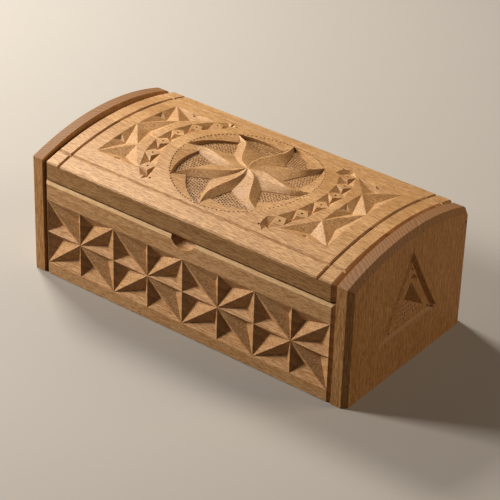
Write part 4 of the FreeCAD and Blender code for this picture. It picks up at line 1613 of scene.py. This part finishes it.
@dataclass
class EndPanel:
    """Arched end board with its carved triangle."""

    end: End
    arch_rise: float = 10.6
    arch_pieces: int = 44
    bevel: float = 3.2
    rear_radius: float = 6.0
    rear_pieces: int = 8
    rear_clear: float = 0.5
    apex_drop: float = 11.7
    base_height: float = 25.8
    half_width: float = 30.7
    side_bow: float = 0.6
    stroke_width: float = 4.2
    stroke_taper: float = 0.13
    stroke_pieces: int = 8
    # Start, end, valley's place and depth of the three strokes: rear, foot and front
    stroke_plans: tuple[tuple[float, float, float, float], ...] = (
        (0.0, 0.97, 0.8, 2.8), (0.03, 1.0, 0.8, 2.8), (0.1, 0.97, 0.5, 1.3))
    heart_shares: tuple[float, ...] = (0.4, 0.49, 0.56)
    heart_depth: float = 5.2
    nick_rim: tuple[Spot, ...] = ((2.0, 61.8), (-0.6, 60.0), (5.6, 54.8), (6.4, 57.4))
    nick_deep: Spot = (2.4, 58.2)
    nick_depth: float = 1.8
    # Painted highlight across the foot stroke, between these shares of its width
    foot_highlight: float = -0.16
    foot_highlight_shares: tuple[float, float] = (0.05, 0.95)
    mark_spots: tuple[Spot, ...] = ((0.5, 65.8), (20.0, 31.5), (-20.0, 31.5))
    stipple: Stipple = Stipple(
        5, range(-12, 13), 24, spacing=2.1, stray=0.3, radius=0.6, sunk=0.4, shade=0.22)
    floor_room: float = 0.2
    brad_room: float = 0.03
    rail_room: float = 0.25
    rail_undercut: float = 2.0
    rail_lead: float = 0.6
    stop_room: float = 0.4
    travel: float = 22.0
    node: str = field(init=False)
    low: Vector = field(init=False)
    high: Vector = field(init=False)
    outer: float = field(init=False)
    inner: float = field(init=False)

    def __post_init__(self) -> None:
        """Read the board's box from the solids."""
        self.node = "left_end_panel" if self.end is End.LEFT else "right_end_panel"
        self.low, self.high = box_mm(self.node)
        self.outer = self.low.x if self.end is End.LEFT else self.high.x
        self.inner = self.high.x if self.end is End.LEFT else self.low.x

    def lift(self, u: float, v: float, depth: float) -> Vector:
        """Point of the outer face at a place, seen from outside the box."""
        side = self.end.value
        return Vector((self.outer - side * depth, side * u, v))

    def outline(self) -> Line:
        """Outline of the board seen from outside: straight sides, arched top, rounded rear corner.

        Returns:
            Corners, anticlockwise from the lower front of the right-hand board.
        """
        y, top = self.high.y, self.high.z
        radius = (y ** 2 + self.arch_rise ** 2) / (2 * self.arch_rise)
        axis = top - radius
        places = [y - 2 * y * n / self.arch_pieces for n in range(self.arch_pieces + 1)]
        arch = [(v, axis + math.sqrt(radius ** 2 - v ** 2)) for v in places]
        r = self.rear_radius
        out = math.sqrt((radius - r) ** 2 - (y - r) ** 2)
        centre = (y - r, axis + out)
        stop = math.degrees(math.atan2(out, y - r))
        corner = arc(r, 0, stop, self.rear_pieces, centre)
        rest = [at for at in arch if at[0] < corner[-1][0] - self.rear_clear]
        line = [(-y, self.low.z), (y, self.low.z), *corner, *rest]
        if self.end is End.LEFT:
            return [(-u, v) for u, v in reversed(line)]
        return line

    def face(self) -> CarvedFace:
        """Outer face with its bevelled outline and carved triangle.

        Returns:
            The carved face.
        """
        outline = self.outline()
        feet = [a[1] == b[1] == self.low.z for a, b in pairs(outline)]
        face = CarvedFace(outline, [EdgeBevel(outline, [0.0 if foot else self.bevel for foot in feet])])
        apex = self.high.z - self.apex_drop
        centre = (0.0, self.base_height + (apex - self.base_height) / 3)
        corners = [(0.0, apex), (self.half_width, self.base_height), (-self.half_width, self.base_height)]
        plans = zip(pairs(corners), self.stroke_plans)
        strokes = [self.stroke(a, b, centre, *plan) for (a, b), plan in plans]
        face.cuts += strokes
        # The foot stroke is lightened with painted highlight
        foot = list(zip(strokes[1].outer, strokes[1].inner))
        low, high = self.foot_highlight_shares
        area = [between(a, b, low) for a, b in foot] + [between(a, b, high) for a, b in reversed(foot)]
        face.painted_areas.append((area, self.foot_highlight))
        heart = [between(centre, corner, share) for corner, share in zip(corners, self.heart_shares)]
        face.cuts.append(chip(heart, centre, self.heart_depth, 0.0, UNDIVIDED))
        face.cuts.append(Chip(list(self.nick_rim), self.nick_deep, self.nick_depth))
        face.dots += [punch(at) for at in self.mark_spots]
        stippled = [(centre, a, b) for a, b in list(pairs(heart))[1:]]
        for dot in self.stipple.dots((0.0, self.base_height)):
            if any(all(inside(facet, spot) for spot in dot.ring()) for facet in stippled):
                face.dots.append(dot)
        return face

    def stroke(self, a: Spot, b: Spot, centre: Spot, start: float, end: float, lean: float,
               sunk: float) -> Stroke:
        """Stroke along one side of the triangle, bowed inwards and pointed at both tips.

        Args:
            a: Corner where the side starts.
            b: Corner where it ends.
            centre: Middle of the triangle.
            start: Share of the side where the stroke starts.
            end: Share of the side where it ends.
            lean: Share of the width at which the valley lies.
            sunk: Depth of the valley.

        Returns:
            The stroke.
        """
        middle = between(a, b, 0.5)
        away = math.dist(middle, centre)
        bowed = between(middle, centre, self.side_bow / away)
        side = smooth_line([between(a, b, start), bowed, between(a, b, end)], self.stroke_pieces)
        inward = ((centre[0] - middle[0]) / away, (centre[1] - middle[1]) / away)
        inner = []
        for n, at in enumerate(side):
            share = n / (len(side) - 1)
            width = self.stroke_width * min(1.0, share / self.stroke_taper, (1 - share) / self.stroke_taper)
            inner.append((at[0] + inward[0] * width, at[1] + inward[1] * width))
        return Stroke(side, inner, lean, sunk)

    def fixed_cutters(self) -> list[bpy.types.Object]:
        """Cutters for the fixed end's floor groove and brad hole."""
        room = self.floor_room
        low, high = box_mm("bottom_board")
        brad_low, brad_high = box_mm("hinge_brad_right")
        y, z = (brad_low.y + brad_high.y) / 2, (brad_low.z + brad_high.z) / 2
        radius = (brad_high.y - brad_low.y) / 2 + self.brad_room
        return [
            block_cutter((self.inner - PAST, low.y - room, low.z), (high.x + room, high.y + room, high.z)),
            rod_cutter(self.inner - PAST, self.outer + PAST, y, z, radius),
        ]

    def sliding_cutters(self) -> list[bpy.types.Object]:
        """Cutters for the sliding end's dovetails and stop slot."""
        cutters = []
        room = self.rail_room
        for node in ("dovetail_rail_front", "dovetail_rail_rear"):
            low, high = box_mm(node)
            root, crest = (high.y - low.y) / 2 - self.rail_undercut + room, (high.y - low.y) / 2 + room
            y = (low.y + high.y) / 2
            slope = (crest - root) / (high.x - low.x)
            inner_x, outer_x = self.inner + self.rail_lead, low.x - room
            mouth = root - slope * (inner_x - high.x)
            outline = [(inner_x, y - mouth, -PAST), (inner_x, y + mouth, -PAST),
                       (outer_x, y + crest, -PAST), (outer_x, y - crest, -PAST)]
            cutters.append(prism_cutter(outline, (0, 0, high.z + self.stop_room + PAST)))
        low, high = box_mm("stop_peg")
        y, z, r = (low.y + high.y) / 2, (low.z + high.z) / 2, (high.y - low.y) / 2 + self.stop_room
        ends = arc(r, 0, 180, 18, (y, z)) + arc(r, 180, 180, 18, (y, z - self.travel))
        slot = [(low.x - self.stop_room, a, b) for a, b in ends]
        cutters.append(prism_cutter(slot, (self.inner + PAST - low.x + self.stop_room, 0, 0)))
        return cutters

    def build(self, finishes: Finishes) -> None:
        """Carve the end board and hand it over."""
        side = self.end.value
        if self.end is End.LEFT:
            name, body, cutters = "carved_end_left", "sliding_end", self.sliding_cutters()
        else:
            name, body, cutters = "carved_end_right", "box_body", self.fixed_cutters()
        board = board_object(name, self.face(), self.lift, lambda u, v, d: Vector((self.inner, side * u, v)))
        cut_away(board, cutters)
        hand_over(board, "end_wood", self.node, body, finishes)


class InnerWorks:
    """Back, inner boards, pegs and pins, which keep their solids' shape."""

    def dress(self, finishes: Finishes) -> None:
        """Give each solid the finish of its slot, before carved boards stand in for four of them."""
        for part in frame["record"]["subparts"]:
            finishes.dress(frame["nodes"][part["node"]], part["material_slot"])
            log.info("%s: %s", part["node"], part["material_slot"])


@dataclass(frozen=True)
class Lamp:
    """Soft square lamp that faces the box, with its place and size in metres and its power in watts."""

    name: str
    place: tuple[float, float, float]
    size: float
    power: float
    colour: str


@dataclass
class Studio:
    """Pale floor, soft light and the camera, in metres apart from the lens and its sensor."""

    lens: float = 147.118
    sensor: float = 36.0
    place: tuple[float, float, float] = (0.637098, -0.849043, 0.682500)
    right: tuple[float, float, float] = (0.79066, 0.61158, 0.02892)
    down: tuple[float, float, float] = (0.33964, -0.39880, -0.85182)
    ahead: tuple[float, float, float] = (-0.50942, 0.68332, -0.52303)
    floor_half: float = 3.0
    lamps: tuple[Lamp, ...] = (
        Lamp("key", (-0.74, 0.26, 0.76), 0.25, 9.9, "#fff8ee"),
        Lamp("front fill", (-1.15, -0.58, 0.70), 0.3, 21.5, "#fff8ee"),
        Lamp("rear fill", (1.3, 0.85, 0.92), 0.8, 9.4, "#ffe4c4"),
    )
    aim: tuple[float, float, float] = (0.0, 0.0, 0.04)
    sky: str = "#fbf7f2"
    sky_strength: float = 0.05

    def build(self) -> None:
        """Set up the floor, lights, camera and view."""
        mesh = bpy.data.meshes.new("floor")
        half = self.floor_half
        corners = [(-half, -half, 0), (half, -half, 0), (half, half, 0), (-half, half, 0)]
        mesh.from_pydata(corners, [], [(0, 1, 2, 3)])
        floor = bpy.data.objects.new("floor", mesh)
        bpy.context.scene.collection.objects.link(floor)
        mesh.materials.append(PaleFloor().build())
        for lamp in self.lamps:
            self.add_lamp(lamp)
        world = bpy.data.worlds.new("studio")
        bpy.context.scene.world = world
        world.use_nodes = True
        sky = world.node_tree.nodes["Background"].inputs
        sky["Color"].default_value = to_linear(self.sky)
        sky["Strength"].default_value = self.sky_strength
        self.add_camera()
        bpy.context.scene.view_settings.view_transform = "Standard"

    def add_lamp(self, lamp: Lamp) -> None:
        """Hang a lamp so that it faces the box.

        Args:
            lamp: The lamp to hang.
        """
        data = bpy.data.lights.new(lamp.name, "AREA")
        data.size = lamp.size
        data.energy = lamp.power
        data.color = to_linear(lamp.colour)[:3]
        obj = bpy.data.objects.new(lamp.name, data)
        obj.location = lamp.place
        obj.rotation_euler = (Vector(self.aim) - Vector(lamp.place)).to_track_quat("-Z", "Y").to_euler()
        bpy.context.scene.collection.objects.link(obj)

    def add_camera(self) -> None:
        """Add the camera at the photograph's angle."""
        data = bpy.data.cameras.new("camera")
        data.lens = self.lens
        data.sensor_width = self.sensor
        camera = bpy.data.objects.new("camera", data)
        axes = (Vector(self.right), -Vector(self.down), -Vector(self.ahead))
        turn = Matrix([[axis[row] for axis in axes] for row in range(3)])
        camera.matrix_world = Matrix.Translation(self.place) @ turn.to_4x4()
        bpy.context.scene.collection.objects.link(camera)
        bpy.context.scene.camera = camera


def main() -> None:
    """Build every piece of the box, then the studio."""
    logging.basicConfig(level=logging.INFO, format="%(name)s: %(message)s")
    finishes = Finishes()
    InnerWorks().dress(finishes)
    Lid().build(finishes)
    FrontPanel().build(finishes)
    EndPanel(End.RIGHT).build(finishes)
    EndPanel(End.LEFT).build(finishes)
    Studio().build()


if __name__ == "__main__":
    main()
